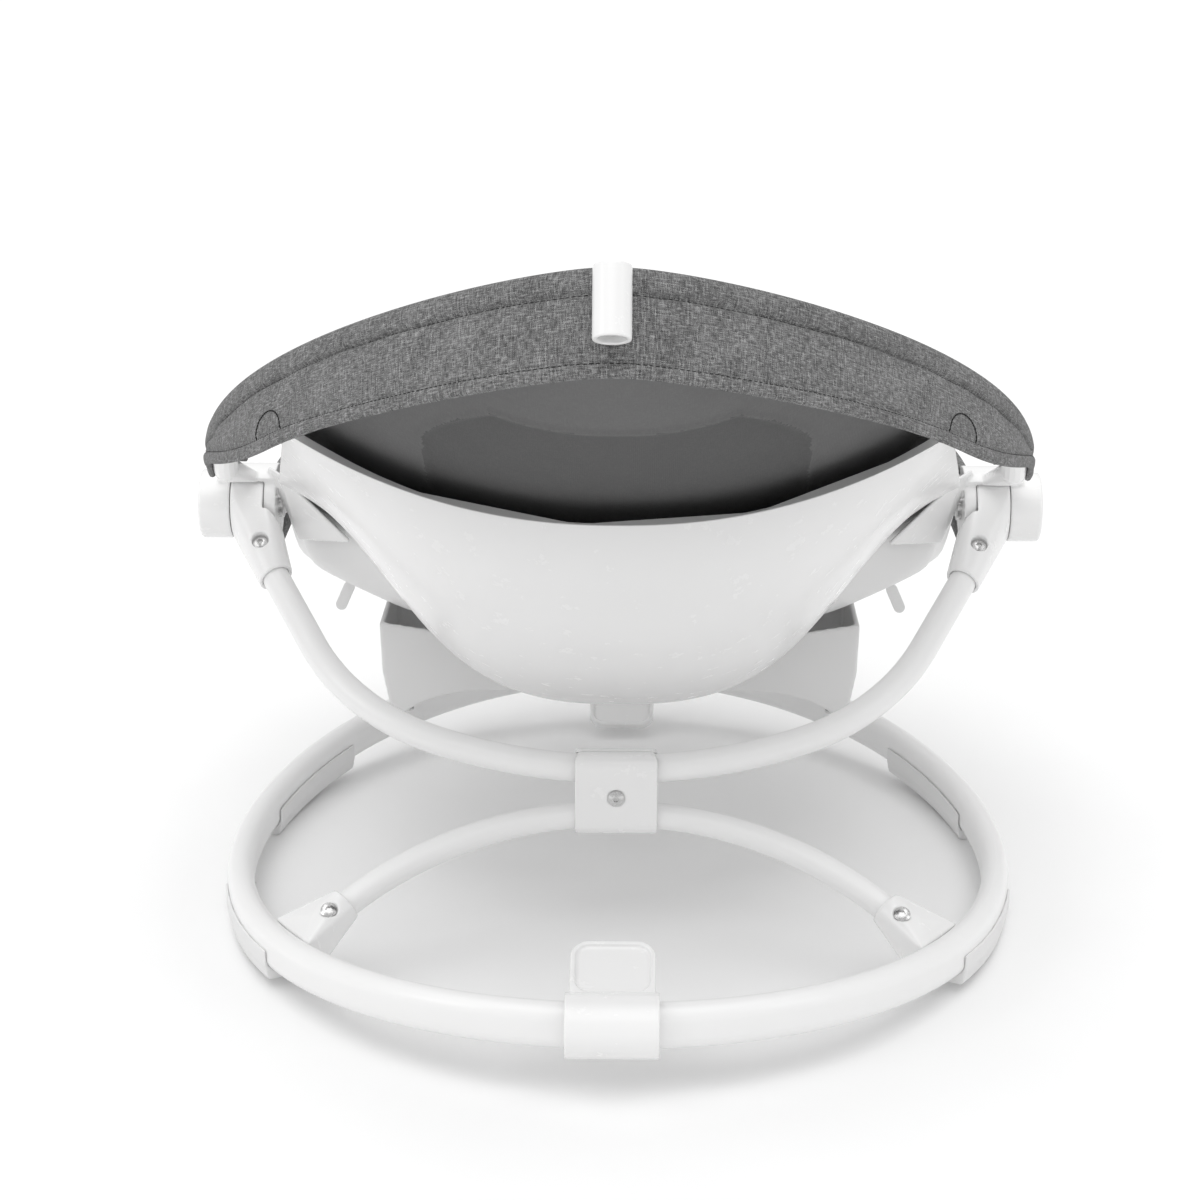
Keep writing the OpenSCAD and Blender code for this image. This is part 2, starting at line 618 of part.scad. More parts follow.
function liner_z(x, y) = let (h = max(12, liner_half(y) - liner_shelf),
  up = ease((y - liner_end_y + liner_climb + 14) / liner_climb))
  mix(liner_mid_z(y), liner_edge_z(y), max(up, pow(min(1, abs(x) / h), 2.2)));
function liner_up(x, y) = unit([(liner_z(x - 1, y) - liner_z(x + 1, y)) / 2,
  (liner_z(x, y - 1) - liner_z(x, y + 1)) / 2, 1]);
function on_liner(x, y, lift) = [x, y, liner_z(x, y)] + lift * liner_up(x, y);
liner_head_gap = 18;
liner_head_y = rim_y0 - (rim_l - liner_in - liner_head_gap) * cos(rim_tilt);
liner_steps = 26;
liner_rows = [for (i = [0:liner_steps]) mix(liner_head_y, liner_end_y, i / liner_steps)];
liner_drop = 1.15 * liner_t;
module seat_liner() {
  cols = [for (i = [-7:7]) i / 7];
  color(heather) sheet([for (y = liner_rows) [for (u = cols) on_liner(u * liner_half(y), y, 0)]],
    [for (y = liner_rows) [for (u = cols) on_liner(u * liner_half(y), y, 0) - [0, 0, liner_drop]]]);
}

// ---- back bowl: from its rear rim, round under the child, to its front edge --
bowl_rear_y = -130;
bowl_rear_z = 282;
bowl_side_y = -100;
bowl_side_z = 332;
bowl_side_x = 200;
bowl_front_y = 25;
bowl_front = [[0, 124], [135, 118], [130, 222], [222, 266]];
function bezier(p, t) = pow(1 - t, 3) * p[0] + 3 * t * pow(1 - t,
  2) * p[1] + 3 * t * t * (1 - t) * p[2] + t * t * t * p[3];
function bowl_pt(u, t) =
  let (a = abs(u), s = sign(u), f = bezier(bowl_front, a), k = pow(a, 2.2), b = 1 - pow(a, 3),
    ty = mix(t, 1 - cos(90 * t), b), tz = mix(t, sin(90 * t), b))
  [s * mix(bowl_side_x * a, f[0], tz), mix(mix(bowl_rear_y, bowl_side_y, k), bowl_front_y, ty),
   mix(mix(bowl_rear_z, bowl_side_z, k), f[1], tz)];
function bowl_normal(u, t) = let (h = 0.01)
  unit(cross(bowl_pt(u + h, t) - bowl_pt(u - h, t), bowl_pt(u, t + h) - bowl_pt(u, t - h)));
bowl_bead = 2.5;
module back_bowl() {
  us = [for (i = [-16:16]) i / 16];
  ts = concat([0, 0.03], [for (i = [1:13]) i / 13]);
  function bead(t) = t < 0.02 ? bowl_bead : 0;
  color(white) difference() {
    sheet([for (t = ts) [for (u = us) bowl_pt(u, t) + (shell_t / 2 + bead(t)) * bowl_normal(u, t)]],
      [for (t = ts) [for (u = us) bowl_pt(u, t) - shell_t / 2 * bowl_normal(u, t)]]);
    at_bowl_screws() screw_hole();
  }
}

// ---- tray: the moulded tub under thighs and legs ---------------------------
tray_rear_y = 12;
tray_rear_half_w = 158;
tray_rear_floor_z = 136;
tray_rear_rim_z = 230;
tray_plate_w = 224;
tray_rim_z = foot_rim_z - liner_t - cover_t - 4;
cover_lift = 2.2;
tray_slope_y = 120;
tray_widen_y = 86;
tray_rear_section = [[0, 0], [0.30, 0.04], [0.50, 0.13], [0.66, 0.30], [0.80, 0.55], [0.90, 0.78], [1, 1]];
tray_section = [[0, 0], [0.42, 0.03], [0.68, 0.16], [0.71, 0.18], [0.93, 0.41], [0.955, 0.46], [1, 1]];
function tray_floor(y) = mix(tray_rear_floor_z, tray_floor_z,
  ease((y - tray_rear_y) / 45)) + thigh_slope * max(0, y - tray_slope_y);
function tray_pt(i, y) =
  let (k = ease((y - tray_rear_y) / 80), a = mix(tray_rear_section[abs(i)], tray_section[abs(i)], k),
    plate = mix(tray_rear_half_w, tray_plate_w, ease((y - tray_rear_y) / 60)),
    w = min(plate + (tray_half_w - tray_plate_w) * ease((y - tray_widen_y) / 26), foot_half(y)),
    z = mix(tray_rear_rim_z, tray_rim_z, k))
  [sign(i) * w * a[0], y, mix(tray_floor(y), z, a[1])];
function tray_in(i, y) =
  let (a = tray_pt(max(i - 1, -6), y), b = tray_pt(min(i + 1, 6), y), d = unit(b - a)) [-d[2], 0, d[0]];
tray_rows = concat([for (y = [tray_rear_y:8:108]) y],
  [for (k = [0.12:0.08:0.92]) foot_outline_y + k * foot_l],
  [foot_outline_y + 0.96 * foot_l, foot_outline_y + 0.985 * foot_l]);
module seat_tray() {
  cols = [-6:6];
  color(shade_white) sheet([for (y = tray_rows) [for (i = cols) tray_pt(i, y) + shell_t * tray_in(i, y)]],
    [for (y = tray_rows) [for (i = cols) tray_pt(i, y)]]);
}

// Moulded runners under the tray, joined by an arched web.
runner_x = 166;
runner_low_x = 156;
runner_low_z = 92;
runner_y0 = 58;
runner_y1 = 150;
runner_wall = 3;
web_arch_z = 110;
module underseat_frame() {
  top_z = tray_floor_z - 0.5;
  side_z = tray_floor_z + 0.155 * (tray_rim_z - tray_floor_z);
  arch_pts = [for (i = [-12:12]) let (t = sign(i) * (1 - pow(1 - abs(i) / 12, 2)))
    [t * (runner_low_x - 8), web_arch_z - (web_arch_z - runner_low_z) * pow(abs(t), 7)]];
  difference() {
    translate([0, runner_y1, 0]) rotate([90, 0, 0]) linear_extrude(runner_y1 - runner_y0)
      polygon(concat([[-runner_low_x, runner_low_z]], arch_pts, [[runner_low_x, runner_low_z],
        [runner_x - 4, runner_low_z + 32], [runner_x - 3, side_z - 6], [100, top_z], [-100, top_z],
        [3 - runner_x, side_z - 6], [4 - runner_x, runner_low_z + 32]]));
    at_frame_screws() screw_hole();
    translate([0, runner_y1 - runner_wall, 0]) rotate([90, 0, 0])
      linear_extrude(runner_y1 - runner_y0 - 2 * runner_wall)
      polygon(concat([for (p = arch_pts) [p[0] * 0.97, p[1] + runner_wall]],
        [[runner_x - 4 - runner_wall, runner_low_z + 32], [runner_x - 3 - runner_wall, side_z + 20],
         [3 + runner_wall - runner_x, side_z + 20], [4 + runner_wall - runner_x, runner_low_z + 32]]));
  }
}

small_head_d = 8;
small_head_h = 2.4;
small_bolt_d = 3.5;
module small_screw(l) { screw(small_head_d, small_head_h, small_bolt_d, l); }

// ---- foot cover: cloth skirt round the tray ---------------------------------
function foot_dir(a) = let (h = 1.5) unit(foot_out(min(179, a + h)) - foot_out(max(1, a - h)));
foot_skirt = 62;
toe_skirt = 22;
foot_border = 16;
module foot_cover() {
  n = 40;
  z0 = tray_rim_z + cover_lift + cover_t;
  color(heather) loft([for (i = [0:n]) let (a = mix(2, 178, i / n), q = foot_out(a), d = foot_dir(a),
    o = [d[1], -d[0]],
      depth = mix(foot_skirt, toe_skirt, ease((q[1] - foot_outline_y) / foot_l)), t = cover_t, g = seat_gap)
    [for (p = [[g + t - 1.5, 0], [-foot_border, 0], [-foot_border, -t], [g, -t], [g, -depth],
      [g + t, -depth], [g + t, -1.5]])
      [q[0] + p[0] * o[0], q[1] + p[0] * o[1], z0 + p[1]]]]);
}

// Cloth tabs that hook under the tray's edge.
tab_w = 8;
tab_l = 22;
tab_t = 2;
tab_lean = 24;
tab_in = 26;
module cover_tab() {
  q = tray_pt(4, 104);
  translate([q[0] - tab_in, q[1], q[2] - tab_in - 1]) rotate([90, 0, 0]) rotate([0, 0, tab_lean])
    linear_extrude(tab_t, center = true) stadium(tab_w, tab_l);
}
module right_cover_tab() { color(shade_white) cover_tab(); }
module left_cover_tab() { color(shade_white) mirror([1, 0, 0]) cover_tab(); }

// ---- pivot bracket, pin, button, gear ---------------------------------------
bridge_gap = 0.8;
bridge_t = 3.7;
bridge_from = 60;
bridge_to = 128;
gear_hub_depth = gear_t / 2 + 1;
cap_d = knob_d - 11;
cap_t = 8.5;
stem_d = 18;
arm_plug_l = 22;
function rim_axis_pt(e) = let (phi = head_phi(e)) rim_at(phi, -rim_tube_in, rim_tube_in);

module bar_between(a, b, d) {
  v = b - a;
  translate(a) rotate([0, acos(v[2] / norm(v)), atan2(v[1], v[0])]) cylinder(d = d, h = norm(v), $fn = 32);
}
// Sector of a round bar about the pivot axis, from its middle out to radius r.
module sector(x0, x1, r, from, to) {
  on_pivot(x0) rotate([0, 0, 90 + from]) rotate_extrude(angle = to - from) square([r, x1 - x0]);
}
bridge_r = knob_r + bridge_gap + bridge_t;
module wing() {
  a = [plate_x - 4, pivot_y - 12, pivot_z + 27];
  b = [plate_x - 22, pivot_y - 6, pivot_z - 22];
  c = [179, bowl_front_y + 3, pivot_z - 16];
  d = [221, bowl_front_y + 3, pivot_z + 27];
  hull() for (p = [a, b, c, d]) translate(p) sphere(d = shell_t, $fn = 16);
}
tray_boss_x = 224.4;
module pivot_bracket() {
  difference() {
    union() {
      on_pivot(hub_in_x) cylinder(d = knob_d, h = hub_l - 1);
      on_pivot(hub_in_x) cylinder(d = knob_d - 2, h = hub_l);
      on_pivot(plate_x - inner_plate_t) cylinder(d = knob_d, h = inner_plate_t);
      difference() {
        sector(plate_x - inner_plate_t, hub_in_x + 8, bridge_r, bridge_from, bridge_to);
        on_pivot(plate_x) cylinder(r = knob_r + bridge_gap, h = hub_in_x - plate_x);
      }
      hull() {
        difference() {
          sector(knuckle_in_x + 4, knuckle_out_x, bridge_r, bridge_to - 14, bridge_to);
          on_pivot(plate_x) cylinder(r = knob_r + bridge_gap, h = hub_in_x - plate_x);
        }
        bar_between(rim_axis_pt(rim_start_e - 8), rim_axis_pt(rim_start_e - seat_gap), rim_tube_d);
      }
      bar_between(rim_axis_pt(rim_start_e - 2), rim_axis_pt(rim_start_e + arm_plug_l),
        rim_tube_d - 2 * tube_wall - 1.2);
      translate([tray_boss_x, pivot_y + 11, pivot_z - 10]) cube([plate_x - tray_boss_x, 12, 16]);
      wing();
    }
    on_pivot(plate_x - inner_plate_t - 8) cylinder(d = pin_d + 2 * pin_gap, h = inner_plate_t + 10);
    on_pivot(hub_in_x - 0.1) cylinder(d = gear_pocket_d, h = gear_hub_depth + 0.1);
    on_pivot(hub_out_x - cap_t - 0.5) cylinder(d = cap_d + 2 * turn_gap, h = cap_t + 2);
    on_pivot(hub_in_x) cylinder(d = stem_d + 2 * turn_gap, h = hub_l);
    on_pivot(plate_x - inner_plate_t - pin_head_t - 4) cylinder(d = pin_head_d + 1, h = pin_head_t + 4);
  }
}
module right_pivot_bracket() { color(white) pivot_bracket(); }
module left_pivot_bracket() { color(white) mirror([1, 0, 0]) pivot_bracket(); }

pin_end_x = knuckle_out_x + 3;
module pivot_pin() {
  on_pivot(plate_x - inner_plate_t - pin_head_t) {
    cylinder(d = pin_head_d, h = pin_head_t);
    cylinder(d = pin_d, h = pin_end_x - plate_x + inner_plate_t + pin_head_t);
  }
}
module right_pivot_pin() { color(steel) pivot_pin(); }
module left_pivot_pin() { color(steel) mirror([1, 0, 0]) pivot_pin(); }

gear_x0 = knuckle_out_x - gear_t / 2;
module lock_gear() {
  on_pivot(gear_x0) linear_extrude(gear_t) difference() {
    union() {
      circle(d = gear_root_d);
      for (i = [0:gear_teeth - 1]) rotate(i * 360 / gear_teeth)
        translate([gear_root_d / 4, -gear_tooth_w / 2])
        square([gear_tip_d / 2 - gear_root_d / 4, gear_tooth_w]);
    }
    circle(d = pin_d + 2 * turn_gap);
  }
}
module right_lock_gear() { color("#8a8c8e") lock_gear(); }
module left_lock_gear() { color("#8a8c8e") mirror([1, 0, 0]) lock_gear(); }

button_dome = 1.5;
module recline_button() {
  difference() {
    union() {
      on_pivot(gear_x0 + gear_t + seat_gap) cylinder(d = stem_d, h = hub_out_x - cap_t - gear_x0 - gear_t);
      on_pivot(hub_out_x - cap_t + button_travel) cylinder(d = cap_d, h = cap_t - button_travel - 1);
      on_pivot(hub_out_x - 1.2) cylinder(d1 = cap_d, d2 = cap_d - 6, h = button_dome + 0.2);
      on_pivot(hub_out_x - cap_t) cylinder(d = stem_d, h = cap_t);
    }
    on_pivot(gear_x0 + gear_t) cylinder(d = pin_d + 1, h = button_travel + 1);
  }
}
module right_button() { color(white) recline_button(); }
module left_button() { color(white) mirror([1, 0, 0]) recline_button(); }

// Return spring between the gear and the bottom of the knuckle's pocket.
spring_wire = 1.2;
spring_d = 20;
spring_turns = 3;
module button_spring() {
  x0 = knuckle_out_x - gear_pocket_depth + spring_wire / 2 + 0.1;
  x1 = gear_x0 - spring_wire / 2 - 0.1;
  n = spring_turns * 14;
  loft([for (i = [0:n]) let (a = 360 * i / 14, x = mix(x0, x1, i / n))
    [for (j = [0:5]) let (b = 60 * j, r = spring_d / 2 + spring_wire / 2 * cos(b))
      [x + spring_wire / 2 * sin(b), pivot_y + r * cos(a), pivot_z + r * sin(a)]]]);
}
module right_button_spring() { color(steel) button_spring(); }
module left_button_spring() { color(steel) mirror([1, 0, 0]) button_spring(); }

// ---- small fasteners ---------------------------------------------------------
module at_bowl_screws() {
  for (s = [-1, 1], u = [0.42, 0.58]) let (q = bowl_pt(s * u, 0.93), n = bowl_normal(s * u, 0.93))
    translate(q - (shell_t / 2 + 0.3) * n) rotate([0, acos(-n[2]), atan2(-n[1], -n[0])]) children();
}
module at_frame_screws() {
  for (s = [-1, 1], y = [runner_y0 + 14, runner_y1 - 14])
    translate([s * frame_screw_x, y, runner_low_z - 0.1]) rotate([180, 0, 0]) children();
}
frame_screw_x = runner_low_x - 10;
module screw_hole() { cylinder(d = small_bolt_d + 2 * seat_gap, h = 40, center = true, $fn = 24); }
module bowl_screws() { color(steel) at_bowl_screws() small_screw(shell_t + 3); }
module frame_screws() { color(steel) at_frame_screws() small_screw(9); }

// ---- harness -----------------------------------------------------------------
strap_lift = 2.2;
buckle_y = 86;
buckle_l = 40;
buckle_w = 46;
buckle_h = 12;
buckle_z = liner_z(0, buckle_y - buckle_l / 2) + web_t + 2.5;
strap_end_x = buckle_w / 2 + 18;
function strap_rise(x) = 6 * ease((strap_end_x + 26 - abs(x)) / 26);

module crotch_strap() {
  rows = [for (y = [buckle_y + 4:6:buckle_y + 76]) y];
  cols = [for (i = [-2:2]) i * web_w / 4];
  color(lining) sheet([for (y = rows) [for (x = cols) on_liner(x, y, strap_lift + web_t)]],
    [for (y = rows) [for (x = cols) on_liner(x, y, strap_lift)]]);
}
module waist_strap(s) {
  rows = [for (x = [strap_end_x:8:strap_end_x + 120]) x];
  cols = [for (i = [-2:2]) buckle_y + i * web_w / 4];
  color(lining) mirror([s < 0 ? 1 : 0, 0, 0])
    sheet([for (x = rows) [for (y = cols) on_liner(x, y, strap_lift + strap_rise(x))]],
      [for (x = rows) [for (y = cols) on_liner(x, y, strap_lift + strap_rise(x) + web_t)]]);
}
module right_waist_strap() { waist_strap(1); }
module left_waist_strap() { waist_strap(-1); }

button_w = 20;
button_l = 14;
buckle_button_t = 5;
module buckle_body() {
  color(lining) translate([0, buckle_y, buckle_z + buckle_h / 2]) difference() {
    linear_extrude(buckle_h, center = true) rounded_rect(buckle_w, buckle_l, 7);
    translate([0, 0, buckle_h / 2]) linear_extrude(2 * (buckle_button_t + 1), center = true)
      rounded_rect(button_w + 2 * turn_gap, button_l + 2 * turn_gap, 3 + turn_gap);
    for (s = [-1, 1]) translate([s * buckle_w / 2, 0, -1])
      cube([24, tongue_w + 2 * turn_gap, tongue_t + 2 * turn_gap], center = true);
  }
}
module buckle_button() {
  color("#9a9a9c") translate([0, buckle_y, buckle_z + buckle_h - buckle_button_t + 2])
    linear_extrude(buckle_button_t) rounded_rect(button_w, button_l, 3);
}
tongue_w = 22;
tongue_t = 4;
module buckle_tongue() {
  translate([0, buckle_y, buckle_z + buckle_h / 2 - 1]) difference() {
    union() {
      translate([buckle_w / 2 - 11, -tongue_w / 2, -tongue_t / 2]) cube([11.5, tongue_w, tongue_t]);
      translate([buckle_w / 2 + 0.5 + 7.5, 0, 0]) linear_extrude(tongue_t, center = true)
        rounded_rect(15, web_w + 8, 3);
    }
    translate([buckle_w / 2 + 10, 0, 0]) linear_extrude(tongue_t + 2, center = true)
      rounded_rect(4, web_w, 1.5);
  }
}
module right_buckle_tongue() { color(lining) buckle_tongue(); }
module left_buckle_tongue() { color(lining) mirror([1, 0, 0]) buckle_tongue(); }

adjuster_x = 104;
module strap_adjuster() {
  rows = [for (x = [adjuster_x:5:adjuster_x + 15]) x];
  cols = [for (i = [-2:2]) buckle_y + i * (web_w + 8) / 4];
  sheet([for (x = rows) [for (y = cols) on_liner(x, y, strap_lift + web_t + 0.3)]],
    [for (x = rows) [for (y = cols) on_liner(x, y, strap_lift + web_t + 3.3)]]);
}
module right_strap_adjuster() { color(lining) strap_adjuster(); }
module left_strap_adjuster() { color(lining) mirror([1, 0, 0]) strap_adjuster(); }

base_hoop();
rear_hinge_barrel();
front_hinge_barrel();
rear_left_pad();
rear_right_pad();
front_left_pad();
front_right_pad();
left_base_connector();
right_base_connector();
connector_bolts();
lower_arch();
clamp_rear_shell();
clamp_front_shell();
clamp_bolt();
rear_kickstand();
front_kickstand();
upper_bow();
left_knuckle();
right_knuckle();
knuckle_bolts();
left_pivot_bracket();
right_pivot_bracket();
left_pivot_pin();
right_pivot_pin();
left_button();
right_button();
left_lock_gear();
right_lock_gear();
left_button_spring();
right_button_spring();
head_rim();
back_bowl();
seat_tray();
underseat_frame();
bowl_screws();
frame_screws();
toy_bar_socket();
head_cover();
foot_cover();
seat_liner();
left_cover_tab();
right_cover_tab();
crotch_strap();
left_waist_strap();
right_waist_strap();
buckle_body();
buckle_button();
left_buckle_tongue();
right_buckle_tongue();
left_strap_adjuster();
right_strap_adjuster();
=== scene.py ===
# %% [markdown]
# # A baby bouncer, piece by piece
# The seat is a fabric bucket on a moulded bowl, hung between two pivots on a bow of white tube.
# The frame comes from the CAD model and is never moved. Every piece here is made around it, in metres.

import json
import math

import bmesh
import bpy
import numpy as np
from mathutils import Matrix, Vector

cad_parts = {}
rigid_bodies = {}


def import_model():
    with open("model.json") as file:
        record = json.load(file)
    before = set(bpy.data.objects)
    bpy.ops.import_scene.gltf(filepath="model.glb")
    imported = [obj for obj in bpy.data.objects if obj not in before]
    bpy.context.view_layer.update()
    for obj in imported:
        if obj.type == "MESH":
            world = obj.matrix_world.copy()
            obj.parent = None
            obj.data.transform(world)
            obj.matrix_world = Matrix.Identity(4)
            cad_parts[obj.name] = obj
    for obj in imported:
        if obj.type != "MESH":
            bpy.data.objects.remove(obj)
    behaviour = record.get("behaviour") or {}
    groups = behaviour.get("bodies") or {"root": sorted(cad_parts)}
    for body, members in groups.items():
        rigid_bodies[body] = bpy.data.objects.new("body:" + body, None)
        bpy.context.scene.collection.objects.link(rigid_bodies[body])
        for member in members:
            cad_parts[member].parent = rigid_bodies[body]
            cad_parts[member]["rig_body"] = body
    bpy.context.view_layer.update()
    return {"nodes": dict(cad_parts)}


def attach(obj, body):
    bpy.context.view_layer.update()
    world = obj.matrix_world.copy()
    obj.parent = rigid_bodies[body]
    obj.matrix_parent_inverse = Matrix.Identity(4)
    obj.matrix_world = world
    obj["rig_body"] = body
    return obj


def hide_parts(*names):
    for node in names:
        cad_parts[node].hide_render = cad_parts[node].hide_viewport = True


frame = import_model()
MM = 0.001

# %% [markdown]
# ## Driving sizes
# A few sizes of the frame set every curve below. They are in millimetres, like the drawing they belong to,
# and each mesh is turned into metres in one place, where it is built.

# %% Sizes of the stand and the seat
hoop_half_w, hoop_half_l, hoop_rise = 250, 305, 24
hoop_tube_w, hoop_tube_h = 17, 27
hoop_mid_z = 5 + hoop_tube_h / 2 - hoop_rise * (62 / hoop_half_l) ** 2
clamp_back, arch_top_z, clamp_spacing = 110, 88.8, 29.8
arch_tilt, arch_tube_d, arch_bend_r, arch_end_x = math.radians(41), 16.5, 245, 180
bow_tilt, bow_tube_d, bow_low_z = math.radians(35.8), 18, arch_top_z + clamp_spacing
pivot_y = -clamp_back + 209.4 * math.cos(bow_tilt)
pivot_z = bow_low_z + 209.4 * math.sin(bow_tilt)
rim_half_w, rim_l, rim_tilt, rim_z = 268, 435, math.radians(28.5), pivot_z + 24
cover_t, shell_t, liner_t = 3, 3, 10
foot_start_y, foot_l, foot_power, tray_half_w = 90, 361.4 - 90 - cover_t - 0.15, 2.8, 236
tray_rim_z = rim_z - liner_t - cover_t - 4
print("pivot axis at y", round(pivot_y, 1), "z", round(pivot_z, 1), "mm")


def ease(t):
    """Smooth step from 0 to 1."""
    t = np.clip(t, 0, 1)
    return t * t * (3 - 2 * t)


def mix(a, b, t):
    return a * (1 - t) + b * t


def soft_max(a, b, k):
    return k * np.logaddexp(a / k, b / k)


def bump_at(x, middle, width):
    """A soft bump of height 1."""
    return np.exp(-(((x - middle) / width) ** 2))


# %% [markdown]
# ## Making meshes
# Nearly every bent or sewn piece is a row of rings joined up, which is how a tube is drawn or a hem is turned.
# One function joins the rings and lays a UV map in metres over them, so a weave keeps its real size.

# %% Rings to mesh
def link(piece, *finishes):
    bpy.context.scene.collection.objects.link(piece)
    piece.data.materials.clear()
    for finish in finishes:
        piece.data.materials.append(finish)
    return piece


def smooth_edges(mesh, angle=35):
    mesh.shade_smooth()
    mesh.set_sharp_from_angle(angle=math.radians(angle))


def point_outwards(mesh):
    shell = bmesh.new()
    shell.from_mesh(mesh)
    bmesh.ops.recalc_face_normals(shell, faces=shell.faces)
    shell.to_mesh(mesh)
    shell.free()


def loft(name, rings, *finishes, closed=False, angle=35):
    """Closed solid through rings of points in millimetres; a UV map runs round and along, in metres."""
    rings = np.asarray(rings, float) * MM
    n, m = rings.shape[:2]
    round_l = np.linalg.norm(np.roll(rings, -1, axis=1) - rings, axis=2)
    u = np.concatenate([np.zeros((n, 1)), np.cumsum(round_l, axis=1)], axis=1)
    step = np.linalg.norm(np.roll(rings, -1, axis=0) - rings, axis=2).mean(axis=1)
    v = np.concatenate([[0], np.cumsum(step)])
    faces, uvs = [], []
    for i in range(n if closed else n - 1):
        k = (i + 1) % n
        for j in range(m):
            faces.append((i * m + j, i * m + (j + 1) % m, k * m + (j + 1) % m, k * m + j))
            uvs += [(u[i, j], v[i]), (u[i, j + 1], v[i]), (u[k, j + 1], v[i + 1]), (u[k, j], v[i + 1])]
    if not closed:
        for start, order in ((0, range(m)[::-1]), ((n - 1) * m, range(m))):
            faces.append(tuple(start + j for j in order))
            uvs += [(u[start // m, j], v[start // m] + 0.001 * (j % 2)) for j in order]
    mesh = bpy.data.meshes.new(name)
    mesh.from_pydata([tuple(p) for p in rings.reshape(-1, 3)], [], faces)
    layer = mesh.uv_layers.new(name="cloth")
    layer.data.foreach_set("uv", np.array(uvs, np.float32).ravel())
    point_outwards(mesh)
    smooth_edges(mesh, angle)
    return link(bpy.data.objects.new(name, mesh), *finishes)


def slab(name, top, bottom, *finishes, angle=35):
    """Closed sheet between two grids of points."""
    top, bottom = np.asarray(top, float), np.asarray(bottom, float)
    return loft(name, np.concatenate([top[:, ::-1], bottom], axis=1), *finishes, angle=angle)


def plain_mesh(piece, *finishes):
    """Turns a piece's modifiers into its mesh and takes them off."""
    seen = piece.evaluated_get(bpy.context.evaluated_depsgraph_get())
    mesh = bpy.data.meshes.new_from_object(seen)
    piece.modifiers.clear()
    piece.data = mesh
    mesh.materials.clear()
    for finish in finishes:
        mesh.materials.append(finish)
    return piece


def stand_for(piece, *nodes, slot):
    """The piece rides where its CAD nodes ride and is shown instead of them."""
    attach(piece, frame["nodes"][nodes[0]]["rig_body"])
    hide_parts(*nodes)
    print(f"{piece.name}: {len(piece.data.polygons)} faces for {', '.join(nodes)}")
    return piece


# %% [markdown]
# ## Camera and light
# The bouncer is seen from its head end, a little from above, on a white sweep with soft light from all round.
# A broad sky from above lights the sweep evenly, and soft boxes left and right give the gloss tubes their long
# highlights. The Standard view shows white as white, so every finish can keep its real lightness.

# %% Camera, floor and lights
def aim(thing, at):
    thing.rotation_euler = (Vector(at) - thing.location).to_track_quat("-Z", "Y").to_euler()


lens = bpy.data.cameras.new("camera")
lens.lens, lens.sensor_width, lens.clip_end = 78, 36, 50
camera = bpy.data.objects.new("camera", lens)
bpy.context.scene.collection.objects.link(camera)
camera.location = (0.01615, -1.6158, 0.70993)
look_down, look_left = math.radians(17.72), math.radians(1)
camera.rotation_euler = (math.pi / 2 - look_down, 0, look_left)
bpy.context.scene.camera = camera


def soft_box(name, at, towards, wide, power):
    lamp = bpy.data.lights.new(name, "AREA")
    lamp.shape, lamp.size, lamp.energy = "SQUARE", wide, power
    stand = bpy.data.objects.new(name, lamp)
    bpy.context.scene.collection.objects.link(stand)
    stand.location = at
    aim(stand, towards)
    return stand


def soft_sky(name, towards, strength, spread):
    """A broad sun lights the whole sweep evenly, right to the horizon."""
    lamp = bpy.data.lights.new(name, "SUN")
    lamp.energy, lamp.angle = strength, math.radians(spread)
    stand = bpy.data.objects.new(name, lamp)
    bpy.context.scene.collection.objects.link(stand)
    aim(stand, towards)
    return stand


soft_sky("overhead_sky", (0.05, 0.10, -1), 1.55, 80)
soft_box("left_box", (-1.9, -1.2, 1.2), (0, 0, 0.25), 0.9, 6)
soft_box("right_box", (1.9, -1.2, 1.2), (0, 0, 0.25), 0.9, 3.5)

world = bpy.data.worlds.new("studio")
world.use_nodes = True
world.node_tree.nodes["Background"].inputs["Color"].default_value = (1, 1, 1, 1)
world.node_tree.nodes["Background"].inputs["Strength"].default_value = 0.66
bpy.context.scene.world = world
bpy.context.scene.view_settings.view_transform = "Standard"
print("camera at", [round(c, 3) for c in camera.location], "with a soft sky and 2 boxes")

# %% [markdown]
# ## Finishes
# The real one has few finishes: powder-coated tube, glossy moulded shells, a softer moulded tray, rubber,
# bright screws, heather cloth, plain dark lining and ribbed webbing. Each is a small node graph. Grain and weave
# read the object's own coordinates or its UV map, so nothing slides when the seat reclines.

